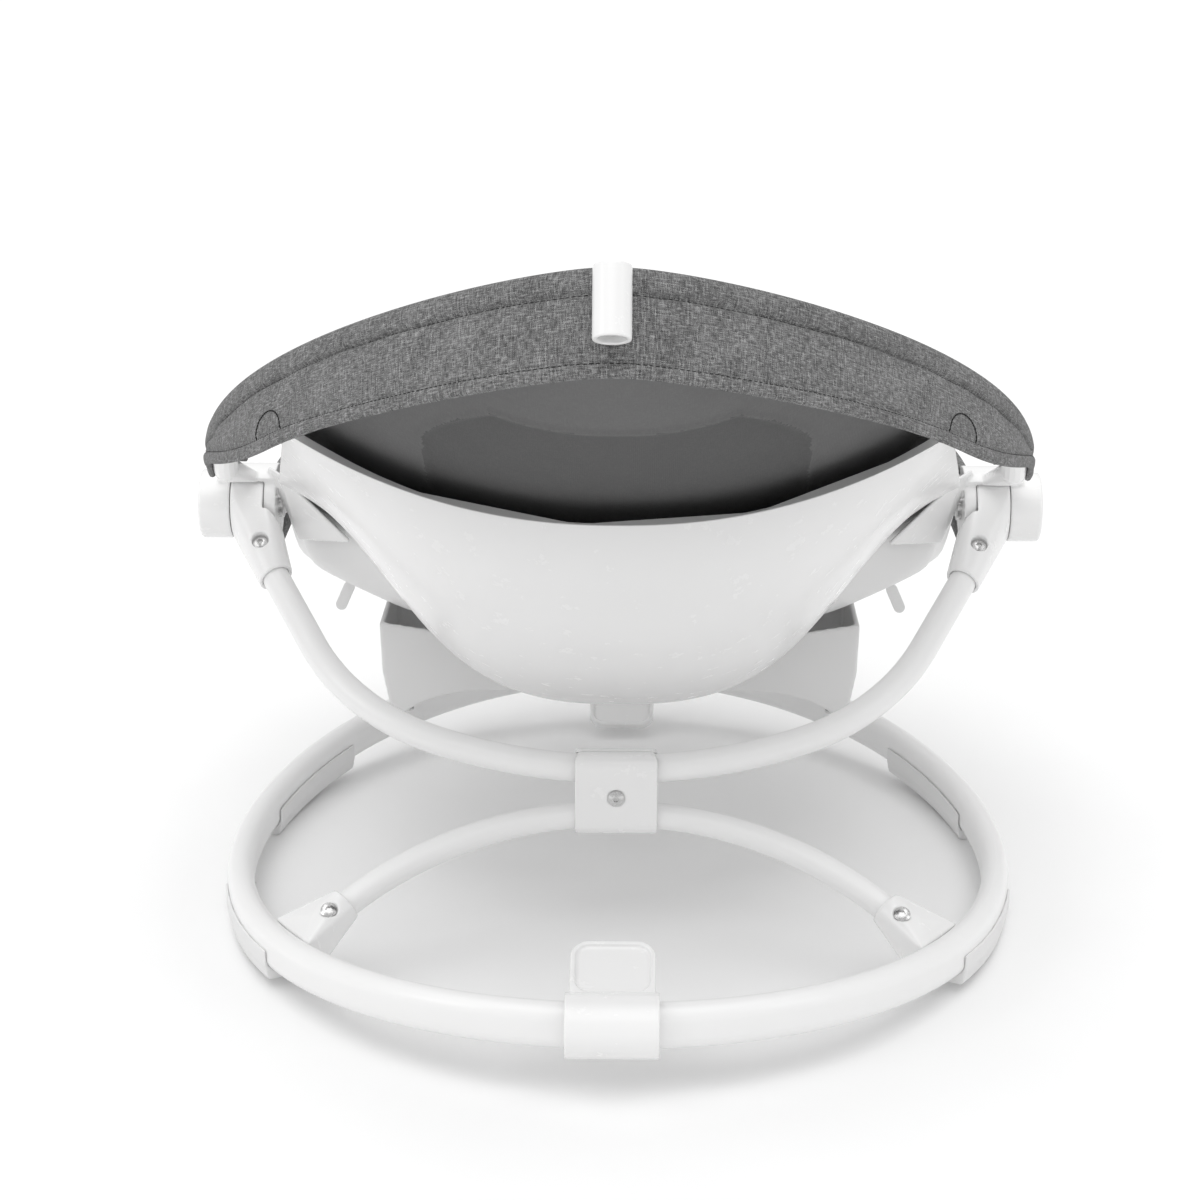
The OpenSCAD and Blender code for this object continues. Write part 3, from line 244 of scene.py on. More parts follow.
# %% Shader helpers
class Finish:
    """A material with a Principled shader and short calls for the nodes that feed it."""

    def __init__(self, name, **fixed):
        self.material = bpy.data.materials.new(name)
        self.material.use_nodes = True
        self.tree = self.material.node_tree
        self.shader = self.tree.nodes["Principled BSDF"]
        for socket, value in fixed.items():
            self.shader.inputs[socket.replace("_", " ")].default_value = value

    def add(self, kind, inputs=None, **settings):
        node = self.tree.nodes.new(kind)
        for key, value in settings.items():
            setattr(node, key, value)
        for key, value in (inputs or {}).items():
            if isinstance(value, bpy.types.NodeSocket):
                self.tree.links.new(value, node.inputs[key])
            else:
                node.inputs[key].default_value = value
        return node

    def to(self, output, socket):
        self.tree.links.new(output, self.shader.inputs[socket])

    def place(self, source="Object", scale=(1, 1, 1)):
        where = self.add("ShaderNodeTexCoord")
        moved = self.add("ShaderNodeMapping", {"Vector": where.outputs[source]})
        moved.inputs["Scale"].default_value = scale
        return moved.outputs["Vector"]

    def noise(self, vector, scale, detail=3, rough=0.55):
        made = self.add("ShaderNodeTexNoise", {"Vector": vector, "Scale": scale, "Detail": detail,
                                               "Roughness": rough})
        return made.outputs["Fac"]

    def wave(self, vector, scale, direction, distort=0.0):
        made = self.add("ShaderNodeTexWave", {"Vector": vector, "Scale": scale, "Distortion": distort,
                                              "Detail": 1.5, "Detail Scale": 3.0}, bands_direction=direction)
        return made.outputs["Fac"]

    def range(self, value, low, high, start=0.0, end=1.0):
        made = self.add("ShaderNodeMapRange", {"Value": value, "From Min": start, "From Max": end,
                                               "To Min": low, "To Max": high})
        return made.outputs["Result"]

    def math(self, how, a, b):
        return self.add("ShaderNodeMath", {0: a, 1: b}, operation=how).outputs[0]

    def ramp(self, value, *stops):
        made = self.add("ShaderNodeValToRGB", {"Fac": value})
        band = made.color_ramp
        while len(band.elements) < len(stops):
            band.elements.new(0.5)
        for element, (at, colour) in zip(band.elements, stops):
            element.position = at
            element.color = (*colour, 1)
        return made.outputs["Color"]

    def bump(self, height, depth, strength=1.0, before=None):
        made = self.add("ShaderNodeBump", {"Height": height, "Distance": depth, "Strength": strength})
        if before is not None:
            self.tree.links.new(before, made.inputs["Normal"])
        return made.outputs["Normal"]


def grey(level, warm=0.0):
    return (level + warm, level, level - warm)


# %% Paint, plastic, rubber and metal
def coated(name, shade, rough, grain_scale, grain_depth, ripple_depth, **fixed):
    """Paint or moulded plastic: a faint cloud of colour, fine grain, slow ripple and soft scuffs."""
    made = Finish(name, **fixed)
    place = made.place()
    cloud = made.noise(place, 9, 2)
    made.to(made.ramp(cloud, (0.3, grey(shade * 0.985, 0.002)), (0.7, grey(shade, 0.001))), "Base Color")
    scuffs = made.noise(made.place(scale=(1, 2.5, 1)), 60, 6, 0.7)
    made.to(made.range(scuffs, rough, rough + 0.05, 0.35, 0.75), "Roughness")
    grain = made.bump(made.noise(place, grain_scale, 2), grain_depth)
    made.to(made.bump(made.noise(place, 14, 0), ripple_depth, 0.5, grain), "Normal")
    return made.material


tube_white = coated("powder_coated_tube", 0.86, 0.30, 1400, 0.00002, 0.00006, Coat_Weight=0.25, Coat_Roughness=0.2)
shell_white = coated("glossy_moulded_shell", 0.86, 0.24, 1300, 0.000008, 0.00006, Coat_Weight=0.15)
tray_white = coated("satin_moulded_tray", 0.78, 0.42, 1600, 0.00003, 0.00008)
pad_rubber = coated("pale_rubber", 0.78, 0.62, 1100, 0.00012, 0.0003)
gear_grey = coated("grey_gear_plastic", 0.28, 0.45, 1500, 0.00005, 0.0001)
buckle_dark = coated("dark_buckle_plastic", 0.055, 0.38, 1700, 0.00008, 0.0001)
release_grey = coated("release_button_plastic", 0.34, 0.4, 1500, 0.00005, 0.0001)


def bright_steel():
    """Zinc-plated steel: turned rings show as fine streaks in the reflection."""
    made = Finish("bright_plated_steel", Metallic=1.0)
    streaks = made.noise(made.place(scale=(1, 1, 6)), 700, 3)
    made.to(made.ramp(streaks, (0.3, grey(0.56)), (0.7, grey(0.70, 0.004))), "Base Color")
    made.to(made.range(streaks, 0.16, 0.34), "Roughness")
    made.to(made.bump(streaks, 0.00002), "Normal")
    return made.material


steel = bright_steel()
print("hard finishes:", tube_white.name, shell_white.name, tray_white.name, pad_rubber.name, steel.name)

# %% [markdown]
# Heather cloth gets its look from yarns that were dyed before spinning, so each yarn runs from dark to pale along
# its length. Two wave patterns give the crossing yarns, and noise drawn out along each of them gives the flecks.

# %% Woven cloths
YARN = 0.0011


def woven(name, stops, source="UV", contrast=1.0, depth=0.00025, rough=0.9, sheen=0.08):
    made = Finish(name, Roughness=rough, Sheen_Weight=sheen, Sheen_Roughness=0.5, Specular_IOR_Level=0.2)
    flat = made.place(source)
    # a wave of scale s has a band every 2 pi / (20 s)
    pitch = 2 * math.pi / (20 * YARN)
    weft = made.wave(flat, pitch, "X", 0.6)
    warp = made.wave(flat, pitch, "Y", 0.6)
    flecks_along = made.noise(made.place(source, (1, 0.22, 1)), 950, 3, 0.65)
    flecks_across = made.noise(made.place(source, (0.22, 1, 1)), 950, 3, 0.65)
    over = made.math("GREATER_THAN", warp, weft)
    flecks = made.add("ShaderNodeMix", {"Factor": over, 2: flecks_along, 3: flecks_across}).outputs[0]
    patches = made.noise(flat, 45, 3)
    shade = made.math("ADD", made.math("MULTIPLY", flecks, contrast), made.range(patches, -0.07, 0.07))
    made.to(made.ramp(shade, *stops), "Base Color")
    threads = made.math("MAXIMUM", weft, warp)
    height = made.math("ADD", made.math("MULTIPLY", threads, 0.7), made.math("MULTIPLY", flecks, 0.5))
    made.to(made.bump(height, depth), "Normal")
    return made.material


heather_stops = ((0.34, grey(0.055)), (0.46, grey(0.13)), (0.55, grey(0.23)), (0.70, grey(0.42)))
heather = woven("heather_weave", heather_stops, depth=0.0004)
lining_stops = ((0.3, grey(0.085)), (0.7, grey(0.125)))
lining = woven("plain_dark_lining", lining_stops, contrast=0.7, depth=0.0001, rough=0.8)
band_stops = ((0.3, grey(0.125)), (0.7, grey(0.175)))
lining_band = woven("lining_border_band", band_stops, contrast=0.7, depth=0.0001, rough=0.8)
thread_stops = ((0.3, grey(0.012)), (0.7, grey(0.03)))
thread = woven("sewing_thread", thread_stops, "Object", contrast=0.5, depth=0.00005)


def ribbed_webbing():
    """Harness webbing: ribs across the strap, with cords running along it."""
    made = Finish("ribbed_webbing", Roughness=0.7, Sheen_Weight=0.2, Specular_IOR_Level=0.3)
    flat = made.place("UV")
    ribs = made.wave(flat, 2 * math.pi / (20 * 0.0016), "Y", 0.3)
    cords = made.wave(flat, 2 * math.pi / (20 * 0.0024), "X", 0.2)
    flecks = made.noise(flat, 1400, 2)
    # Colour follows the ribs times the flecks: the valleys between the ribs are darker as painted shade, and the
    # flecks are a random tone of the yarn.
    made.to(made.ramp(made.math("MULTIPLY", ribs, flecks), (0.0, grey(0.022)), (0.6, grey(0.075))), "Base Color")
    made.to(made.bump(made.math("ADD", ribs, made.math("MULTIPLY", cords, 0.6)), 0.0003), "Normal")
    return made.material


webbing = ribbed_webbing()
print("cloths:", heather.name, lining.name, lining_band.name, webbing.name, "yarn every", YARN * 1000, "mm")


def sweep_floor():
    made = Finish("white_sweep", Roughness=0.9, Specular_IOR_Level=0.1)
    made.to(made.ramp(made.noise(made.place(), 3, 2), (0.3, grey(0.90)), (0.7, grey(0.93))), "Base Color")
    mesh = bpy.data.meshes.new("floor")
    mesh.from_pydata([(-9, -9, 0), (9, -9, 0), (9, 9, 0), (-9, 9, 0)], [], [(0, 1, 2, 3)])
    floor = link(bpy.data.objects.new("floor", mesh), made.material)
    return floor


sweep_floor()

# %% [markdown]
# ## Tubes
# The rocker hoop, the arch and the bow are steel tubes bent round a former. Their shape is a path and a section,
# so one Geometry Nodes tree makes all three: a path goes in, and a rounded section is drawn along it.
# The hoop's tube is a tall oval, and the other two are round, which is the same section with equal sides.

# %% The bent tube tree
def new_tree(name, *sockets):
    tree = bpy.data.node_groups.new(name, "GeometryNodeTree")
    tree.interface.new_socket("Geometry", in_out="INPUT", socket_type="NodeSocketGeometry")
    tree.interface.new_socket("Geometry", in_out="OUTPUT", socket_type="NodeSocketGeometry")
    for label, kind in sockets:
        tree.interface.new_socket(label, in_out="INPUT", socket_type="NodeSocket" + kind)
    return tree, tree.nodes.new("NodeGroupInput"), tree.nodes.new("NodeGroupOutput")


def add(tree, kind, inputs=None, **settings):
    node = tree.nodes.new(kind)
    for key, value in settings.items():
        setattr(node, key, value)
    for key, value in (inputs or {}).items():
        if isinstance(value, bpy.types.NodeSocket):
            tree.links.new(value, node.inputs[key])
        else:
            node.inputs[key].default_value = value
    return node


def finish_tree(tree, end, geometry, finish):
    real = add(tree, "GeometryNodeRealizeInstances", {"Geometry": geometry})
    painted = add(tree, "GeometryNodeSetMaterial", {"Geometry": real.outputs[0], "Material": finish})
    tree.links.new(painted.outputs[0], end.inputs[0])


def run_tree(piece, tree, finish, **values):
    """Puts the tree on a piece with its inputs set, and turns the result into a plain mesh."""
    modifier = piece.modifiers.new(tree.name, "NODES")
    modifier.node_group = tree
    for socket in tree.interface.items_tree:
        key = socket.name.replace(" ", "_").lower()
        if socket.item_type == "SOCKET" and socket.in_out == "INPUT" and key in values:
            modifier[socket.identifier] = values[key]
        if socket.name == "Finish":
            modifier[socket.identifier] = finish
    return plain_mesh(piece, finish)


def bent_tube_tree():
    tree, start, end = new_tree("bent_tube", ("Section Width", "Float"), ("Section Height", "Float"),
                                ("Finish", "Material"))
    path = add(tree, "GeometryNodeMeshToCurve", {"Mesh": start.outputs["Geometry"]})
    upright = add(tree, "GeometryNodeSetCurveNormal", {"Curve": path.outputs[0]}, mode="Z_UP")
    section = add(tree, "GeometryNodeCurvePrimitiveQuadrilateral",
                  {"Width": start.outputs["Section Width"], "Height": start.outputs["Section Height"]})
    corner = add(tree, "ShaderNodeMath", {0: start.outputs["Section Width"], 1: 0.4999}, operation="MULTIPLY")
    rounded = add(tree, "GeometryNodeFilletCurve", {"Curve": section.outputs[0], "Radius": corner.outputs[0],
                                                    "Count": 9, "Limit Radius": True}, mode="POLY")
    swept = add(tree, "GeometryNodeCurveToMesh", {"Curve": upright.outputs[0], "Profile Curve": rounded.outputs[0],
                                                  "Fill Caps": True})
    finish_tree(tree, end, swept.outputs[0], start.outputs["Finish"])
    return tree


bent_tube = bent_tube_tree()


def tube(name, path, width, height, closed, nodes, slot="white_tube"):
    path = np.asarray(path, float) * MM
    count = len(path)
    edges = [(i, (i + 1) % count) for i in range(count if closed else count - 1)]
    mesh = bpy.data.meshes.new(name)
    mesh.from_pydata([tuple(p) for p in path], edges, [])
    piece = link(bpy.data.objects.new(name, mesh))
    run_tree(piece, bent_tube, tube_white, section_width=width * MM, section_height=height * MM)
    point_outwards(piece.data)
    smooth_edges(piece.data, 40)
    return stand_for(piece, *nodes, slot=slot)


# %% Hoop, arch and bow
def hoop_z(y):
    return hoop_mid_z + hoop_rise * (y / hoop_half_l) ** 2


turns = np.radians(np.arange(0, 360, 1.5))
hoop_path = np.stack([hoop_half_w * np.cos(turns), hoop_half_l * np.sin(turns),
                      hoop_z(hoop_half_l * np.sin(turns))], axis=1)
tube("rocker_hoop", hoop_path, hoop_tube_w, hoop_tube_h, True, ["base_hoop"])


def on_plane(x, s, tilt, z):
    """Point s up a tilted plane that starts in the clamp."""
    return np.stack([x, -clamp_back + s * math.cos(tilt), z + s * math.sin(tilt)], axis=1)


swing = np.linspace(-1, 1, 121) * math.asin(arch_end_x / arch_bend_r)
arch_path = on_plane(arch_bend_r * np.sin(swing), arch_bend_r * (np.cos(swing) - 1), arch_tilt, arch_top_z)
tube("stand_arch", arch_path, arch_tube_d, arch_tube_d, False, ["lower_arch"])

wide_r, wide_turn, side_r, side_turn, leg_l = 320, math.radians(21), 155, math.radians(62), 99


def bow_half_path():
    wide = np.linspace(0, wide_turn, 25)
    side = np.linspace(wide_turn, side_turn, 33)[1:]
    side_x = (wide_r - side_r) * math.sin(wide_turn)
    side_s = wide_r - (wide_r - side_r) * math.cos(wide_turn)
    x = np.concatenate([wide_r * np.sin(wide), side_x + side_r * np.sin(side)])
    s = np.concatenate([wide_r * (1 - np.cos(wide)), side_s - side_r * np.cos(side)])
    legs = np.linspace(0, leg_l, 14)[1:]
    return (np.concatenate([x, x[-1] + legs * math.cos(side_turn)]),
            np.concatenate([s, s[-1] + legs * math.sin(side_turn)]))


half_x, half_s = bow_half_path()
bow_path = on_plane(np.concatenate([-half_x[:0:-1], half_x]), np.concatenate([half_s[:0:-1], half_s]),
                    bow_tilt, bow_low_z)
tube("seat_bow", bow_path, bow_tube_d, bow_tube_d, False, ["upper_bow"])

# %% [markdown]
# ## Moulded parts
# Sockets, clamps, knuckles, brackets and kickstands are injection moulded, so every edge has a small radius.
# Rounding each edge by hand would take a bevel on hundreds of short edges. A fine voxel remesh with a little
# smoothing rounds them all at once, the way a mould's polished edges do, and keeps the size.

# %% Rounded copies of the moulded nodes
def moulded(node, finish, slot, voxel=0.9, rounds=5, keep=0.5):
    source = frame["nodes"][node]
    mesh = source.data.copy()
    shell = bmesh.new()
    shell.from_mesh(mesh)
    bmesh.ops.remove_doubles(shell, verts=shell.verts, dist=2e-6)
    shell.to_mesh(mesh)
    shell.free()
    piece = link(bpy.data.objects.new(node + "_moulded", mesh), finish)
    remesh = piece.modifiers.new("remesh", "REMESH")
    remesh.mode, remesh.voxel_size = "VOXEL", voxel * MM
    rounding = piece.modifiers.new("rounding", "SMOOTH")
    rounding.factor, rounding.iterations = 0.5, rounds
    thin = piece.modifiers.new("thin", "DECIMATE")
    thin.ratio = keep
    plain_mesh(piece, finish)
    smooth_edges(piece.data, 50)
    return stand_for(piece, node, slot=slot)


for side in ("left", "right"):
    moulded(side + "_base_connector", shell_white, "white_shell", 0.9)
    moulded(side + "_knuckle", shell_white, "white_shell", 0.8)
    moulded(side + "_pivot_bracket", shell_white, "white_shell", 0.9)
    moulded(side + "_button", shell_white, "white_shell", 0.6)
    for end in ("front", "rear"):
        moulded(f"{end}_{side}_pad", pad_rubber, "pad_rubber", 0.7)
for end in ("front", "rear"):
    moulded(f"{end}_kickstand", shell_white, "white_shell", 0.8)
    moulded(f"clamp_{end}_shell", shell_white, "white_shell", 0.7)
moulded("underseat_frame", tray_white, "tray_shell", 1.3)
moulded("toy_bar_socket", shell_white, "white_shell", 0.5)
for side in ("left", "right"):
    moulded(side + "_cover_tab", tray_white, "tray_shell", 0.5)

# %% [markdown]
# ## Bowl and tray
# The bowl is a thin moulded shell with a rolled rim. It is drawn as one curved skin, offset outwards and
# inwards and closed into its wall, with a Bevel modifier on its sharp edges. The rim's roll is a bead along the skin's
# upper edge.

# %% Back bowl
def bezier(points, t):
    p = [np.asarray(q, float) for q in points]
    t = t[..., None]
    return (1 - t) ** 3 * p[0] + 3 * t * (1 - t) ** 2 * p[1] + 3 * t * t * (1 - t) * p[2] + t ** 3 * p[3]


bowl_front_y = 25
bowl_front = [(0, 124), (135, 118), (130, 222), (222, 266)]


def bowl_point(u, t):
    a, k, b = np.abs(u), np.abs(u) ** 2.2, 1 - np.abs(u) ** 3
    front = bezier(bowl_front, a)
    ty = mix(t, 1 - np.cos(np.pi / 2 * t), b)
    tz = mix(t, np.sin(np.pi / 2 * t), b)
    x = np.sign(u) * mix(200 * a, front[..., 0], tz)
    y = mix(mix(-130, -100, k), bowl_front_y, ty)
    z = mix(mix(282, 332, k), front[..., 1], tz)
    return np.stack([x, y, z], axis=-1)


def bowl_normal(u, t, h=0.01):
    across = bowl_point(u + h, t) - bowl_point(u - h, t)
    down = bowl_point(u, t + h) - bowl_point(u, t - h)
    n = np.cross(across, down)
    return n / np.linalg.norm(n, axis=-1, keepdims=True)


def make_bowl():
    us = np.linspace(-1, 1, 121)
    ts = np.concatenate([np.linspace(0, 0.048, 13), np.linspace(0.06, 1, 52)])
    grid_u, grid_t = np.meshgrid(us, ts)
    middle, normal = bowl_point(grid_u, grid_t), bowl_normal(grid_u, grid_t)
    bead = 2.8 * np.exp(-(grid_t / 0.032) ** 4)[..., None]
    # a shallow step runs round the bowl, a hand's width below the rim
    step = 0.8 * ease((grid_t - 0.60) / 0.05)[..., None] * (1 - np.abs(grid_u[..., None]) ** 4)
    outer = middle + (shell_t / 2 + bead + step - 0.8) * normal
    inner = middle - shell_t / 2 * normal
    piece = slab("back_bowl_shell", outer, inner, shell_white, angle=50)
    edge = piece.modifiers.new("edge", "BEVEL")
    edge.width, edge.segments, edge.limit_method, edge.angle_limit = 0.8 * MM, 3, "ANGLE", math.radians(50)
    return stand_for(piece, "back_bowl", slot="white_shell")


make_bowl()

# %% Seat tray
tray_rear_y = 12
rear_section = np.array([[0, 0], [0.30, 0.04], [0.50, 0.13], [0.66, 0.30], [0.80, 0.55], [0.90, 0.78], [1, 1]])
deck_section = np.array([[0, 0], [0.42, 0.03], [0.68, 0.16], [0.71, 0.18], [0.93, 0.41], [0.955, 0.46], [1, 1]])


def foot_half(y):
    return tray_half_w * (1 - np.clip((y - foot_start_y) / foot_l, 0, 1) ** foot_power) ** (1 / foot_power)


def tray_row(y):
    k = ease((y - tray_rear_y) / 80)
    section = mix(rear_section, deck_section, k)
    width = mix(158, 224, ease((y - tray_rear_y) / 60)) + (tray_half_w - 224) * ease((y - 86) / 26)
    width = min(width, foot_half(y))
    floor = mix(136, 149, ease((y - tray_rear_y) / 45)) + 0.36 * max(0, y - 120)
    x, z = section[:, 0] * width, mix(floor, mix(230, tray_rim_z, k), section[:, 1])
    x, z = np.concatenate([-x[:0:-1], x]), np.concatenate([z[:0:-1], z])
    return np.stack([x, np.full_like(x, y), z], axis=1)


def make_tray():
    rows = np.array(list(np.arange(tray_rear_y, 109, 8))
                    + [foot_start_y + k * foot_l for k in (*np.arange(0.12, 0.93, 0.08), 0.96, 0.985)])
    points = np.array([tray_row(y) for y in rows]) * MM
    n, m = points.shape[:2]
    faces = [(i * m + j, (i + 1) * m + j, (i + 1) * m + j + 1, i * m + j + 1)
             for i in range(n - 1) for j in range(m - 1)]
    mesh = bpy.data.meshes.new("seat_tray_shell")
    mesh.from_pydata([tuple(p) for p in points.reshape(-1, 3)], [], faces)
    if sum(face.normal.z for face in mesh.polygons) > 0:
        mesh.flip_normals()
    mesh.shade_smooth()
    piece = link(bpy.data.objects.new("seat_tray_shell", mesh), tray_white)
    soft = piece.modifiers.new("soft", "SUBSURF")
    soft.levels = soft.render_levels = 2
    wall = piece.modifiers.new("wall", "SOLIDIFY")
    wall.thickness, wall.offset = shell_t * MM, -1
    edge = piece.modifiers.new("edge", "BEVEL")
    edge.width, edge.segments, edge.limit_method, edge.angle_limit = 0.7 * MM, 2, "ANGLE", math.radians(60)
    return stand_for(piece, "seat_tray", slot="tray_shell")


make_tray()

# %% [markdown]
# ## Screws
# Button-head screws hold the frame together: a low dome with a hexagon recess. All of them come from one tree that
# cuts a dome out of a ball, sinks a six-sided recess, and puts the screw on every point it is given, turned
# along that point's axis. Places come from the CAD screws themselves, and each row's axis is given with it.

# %% The button-head screw tree
def screw_tree():
    tree, start, end = new_tree("button_head_screws", ("Head Diameter", "Float"), ("Head Height", "Float"),
                                ("Shank Diameter", "Float"), ("Shank Length", "Float"), ("Finish", "Material"))
    size = start.outputs

    def calc(how, a, b=0.0):
        return add(tree, "ShaderNodeMath", {0: a, 1: b}, operation=how).outputs[0]

    def moved(mesh, z):
        shift = add(tree, "ShaderNodeCombineXYZ", {"Z": z}).outputs[0]
        return add(tree, "GeometryNodeTransform", {"Geometry": mesh, "Translation": shift}).outputs[0]

    def rod(sides, radius, depth, z):
        made = add(tree, "GeometryNodeMeshCylinder", {"Vertices": sides, "Radius": radius, "Depth": depth})
        return moved(made.outputs["Mesh"], z)

    head_r, head_h = calc("MULTIPLY", size["Head Diameter"], 0.5), size["Head Height"]
    blank = rod(40, head_r, head_h, calc("MULTIPLY", head_h, 0.5))
    ball = add(tree, "GeometryNodeMeshUVSphere", {"Segments": 40, "Rings": 24, "Radius": size["Head Diameter"]})
    ball = moved(ball.outputs["Mesh"], calc("SUBTRACT", head_h, size["Head Diameter"]))
    dome = add(tree, "GeometryNodeMeshBoolean", {"Mesh 2": blank}, operation="INTERSECT", solver="EXACT")
    tree.links.new(ball, dome.inputs["Mesh 2"])
    hexagon = rod(6, calc("MULTIPLY", head_r, 0.42), head_h, calc("MULTIPLY", head_h, 1.05))
    cut = add(tree, "GeometryNodeMeshBoolean", {"Mesh 1": dome.outputs[0], "Mesh 2": hexagon},
              operation="DIFFERENCE", solver="EXACT")
    shank_r = calc("MULTIPLY", size["Shank Diameter"], 0.5)
    shank = rod(24, shank_r, size["Shank Length"], calc("MULTIPLY", size["Shank Length"], -0.5))
    whole = add(tree, "GeometryNodeJoinGeometry")
    tree.links.new(cut.outputs[0], whole.inputs[0])
    tree.links.new(shank, whole.inputs[0])
    axis = add(tree, "GeometryNodeInputNamedAttribute", {"Name": "axis"}, data_type="FLOAT_VECTOR")
    turn = add(tree, "FunctionNodeAlignRotationToVector", {"Vector": axis.outputs[0]}, axis="Z")
    placed = add(tree, "GeometryNodeInstanceOnPoints", {"Points": size["Geometry"], "Instance": whole.outputs[0],
                                                        "Rotation": turn.outputs[0]})
    finish_tree(tree, end, placed.outputs[0], size["Finish"])
    return tree


screws = screw_tree()


def solids_of(node):
    """The points of each separate solid in a CAD node, in millimetres."""
    shell = bmesh.new()
    shell.from_mesh(frame["nodes"][node].data)
    bmesh.ops.remove_doubles(shell, verts=shell.verts, dist=2e-6)
    left, found = set(shell.verts), []
    while left:
        reached = {next(iter(left))}
        stack = list(reached)
        while stack:
            for edge in stack.pop().link_edges:
                for other in edge.verts:
                    if other not in reached:
                        reached.add(other)
                        stack.append(other)
        left -= reached
        found.append(np.array([v.co for v in reached]) / MM)
    shell.free()
    return sorted(found, key=lambda points: tuple(points.mean(axis=0)))


def make_screws(name, node, axes, head_d, head_h, shank_d, shank_l):
    places = []
    for points, axis in zip(solids_of(node), axes):
        axis = np.asarray(axis, float) / np.linalg.norm(axis)
        along = points @ axis
        centre = (points.min(axis=0) + points.max(axis=0)) / 2
        places.append((centre + (along.max() - head_h - centre @ axis) * axis) * MM)
    mesh = bpy.data.meshes.new(name)
    mesh.from_pydata([tuple(p) for p in places], [], [])
    mesh.attributes.new("axis", "FLOAT_VECTOR", "POINT").data.foreach_set(
        "vector", np.array(axes, np.float32).ravel())
    piece = link(bpy.data.objects.new(name, mesh))
    run_tree(piece, screws, steel, head_diameter=head_d * MM, head_height=head_h * MM,
             shank_diameter=shank_d * MM, shank_length=shank_l * MM)
    smooth_edges(piece.data, 25)
    return stand_for(piece, node, slot="bright_screw")


def square_to(tilt):
    return (0, -math.sin(tilt), math.cos(tilt))


make_screws("arch_screws", "connector_bolts", [square_to(arch_tilt)] * 2, 10, 3.4, 5, 18)
make_screws("bow_screws", "knuckle_bolts", [square_to(bow_tilt)] * 2, 10, 3.4, 5, 19)
make_screws("clamp_screw", "clamp_bolt", [(0, -1, 0)], 10, 3.4, 6, 20)
make_screws("runner_screws", "frame_screws", [(0, 0, -1)] * 4, 8, 2.4, 3.5, 9)
bowl_screw_u = np.array([-0.58, -0.42, 0.42, 0.58])
make_screws("shell_screws", "bowl_screws", -bowl_normal(bowl_screw_u, np.full(4, 0.93)), 8, 2.4, 3.5, 6)

# %% [markdown]
# Pins, gears, springs and barrels are steel or gear plastic already shaped as they are, so the CAD nodes stay
# and only get their finish.

# %% Inner parts keep their shape
for node, finish in {"left_pivot_pin": steel, "right_pivot_pin": steel, "left_button_spring": steel,
                     "right_button_spring": steel, "left_lock_gear": gear_grey, "right_lock_gear": gear_grey,
                     "rear_hinge_barrel": shell_white, "front_hinge_barrel": shell_white,
                     "head_rim": tube_white}.items():
    kept = frame["nodes"][node].data
    kept.materials.clear()
    kept.materials.append(finish)
print("inner parts painted")

# %% [markdown]
# ## Head cover
# The cover is a fitted skirt of heather cloth. A strip runs over the rim, a seam joins it to the skirt below,
# and a hem finishes the lower edge. Cloth simulation would only loosen a skirt that is stretched tight over a
# tube, so it is drawn as rings of its cross-section, with the seam, the hem and soft pulls in the shape itself.

# %% Outline of the rim
px, pe, soft = 1.35, 2.1, 0.06
apex = (1 + soft * soft) ** (px / 2) - soft ** px


def head_outline(phi):
    c, s = np.cos(phi), np.sin(phi)
    across = np.sqrt(np.maximum(0, (c * c * apex + soft ** px) ** (2 / px) - soft * soft))
    return np.stack([rim_half_w * np.sign(c) * across, rim_l * np.abs(s) ** (2 / pe)], axis=-1)


def head_normal(phi, h=math.radians(1.5)):
    d = head_outline(phi + h) - head_outline(phi - h)
    d = d / np.linalg.norm(d, axis=-1, keepdims=True)
    return np.stack([d[..., 1], -d[..., 0]], axis=-1)


def rim_point(phi, out, down):
    """Point by the rim: out from its outline and down from its plane."""
    p = head_outline(phi) + out[..., None] * head_normal(phi)
    return np.stack([p[..., 0], pivot_y - p[..., 1] * math.cos(rim_tilt) - down * math.sin(rim_tilt),
                     rim_z + p[..., 1] * math.sin(rim_tilt) - down * math.cos(rim_tilt)], axis=-1)


def skirt_depth(e):
    return 14 + 38 * ease((e - 34) / 230) + 6 * ease((e - 250) / 185)


def rim_angles(start_e, count):
    first = math.asin((start_e / rim_l) ** (pe / 2))
    return np.linspace(first, math.pi - first, count)


def skirt_face(down, depth, along):
    """How far the skirt's outer face stands out, with its seam, hem and pulls."""
    seam = np.minimum(14, 0.45 * depth)
    roll = 1.1 * np.sin(np.pi * np.clip(down / seam, 0, 1)) - 0.3
    groove = -1.7 * bump_at(down, seam, 1.1)
    belly = 1.0 * np.sin(np.pi * np.clip((down - seam) / (depth - seam), 0, 1))
    hem = 0.5 * ease((down - depth + 8) / 1.5) - 0.6 * bump_at(down, depth - 8, 1.0)
    pulls = 0.45 * np.sin(along / 9 + 1.7 * np.sin(along / 37)) * bump_at(down, seam + 3, 7)
    slack = 0.7 * np.sin(along / 31 + 2) * np.clip((down - seam) / 30, 0, 1)
    return roll + groove + belly + hem + pulls + slack


# %% Cut and sew the head cover
border_w = 24


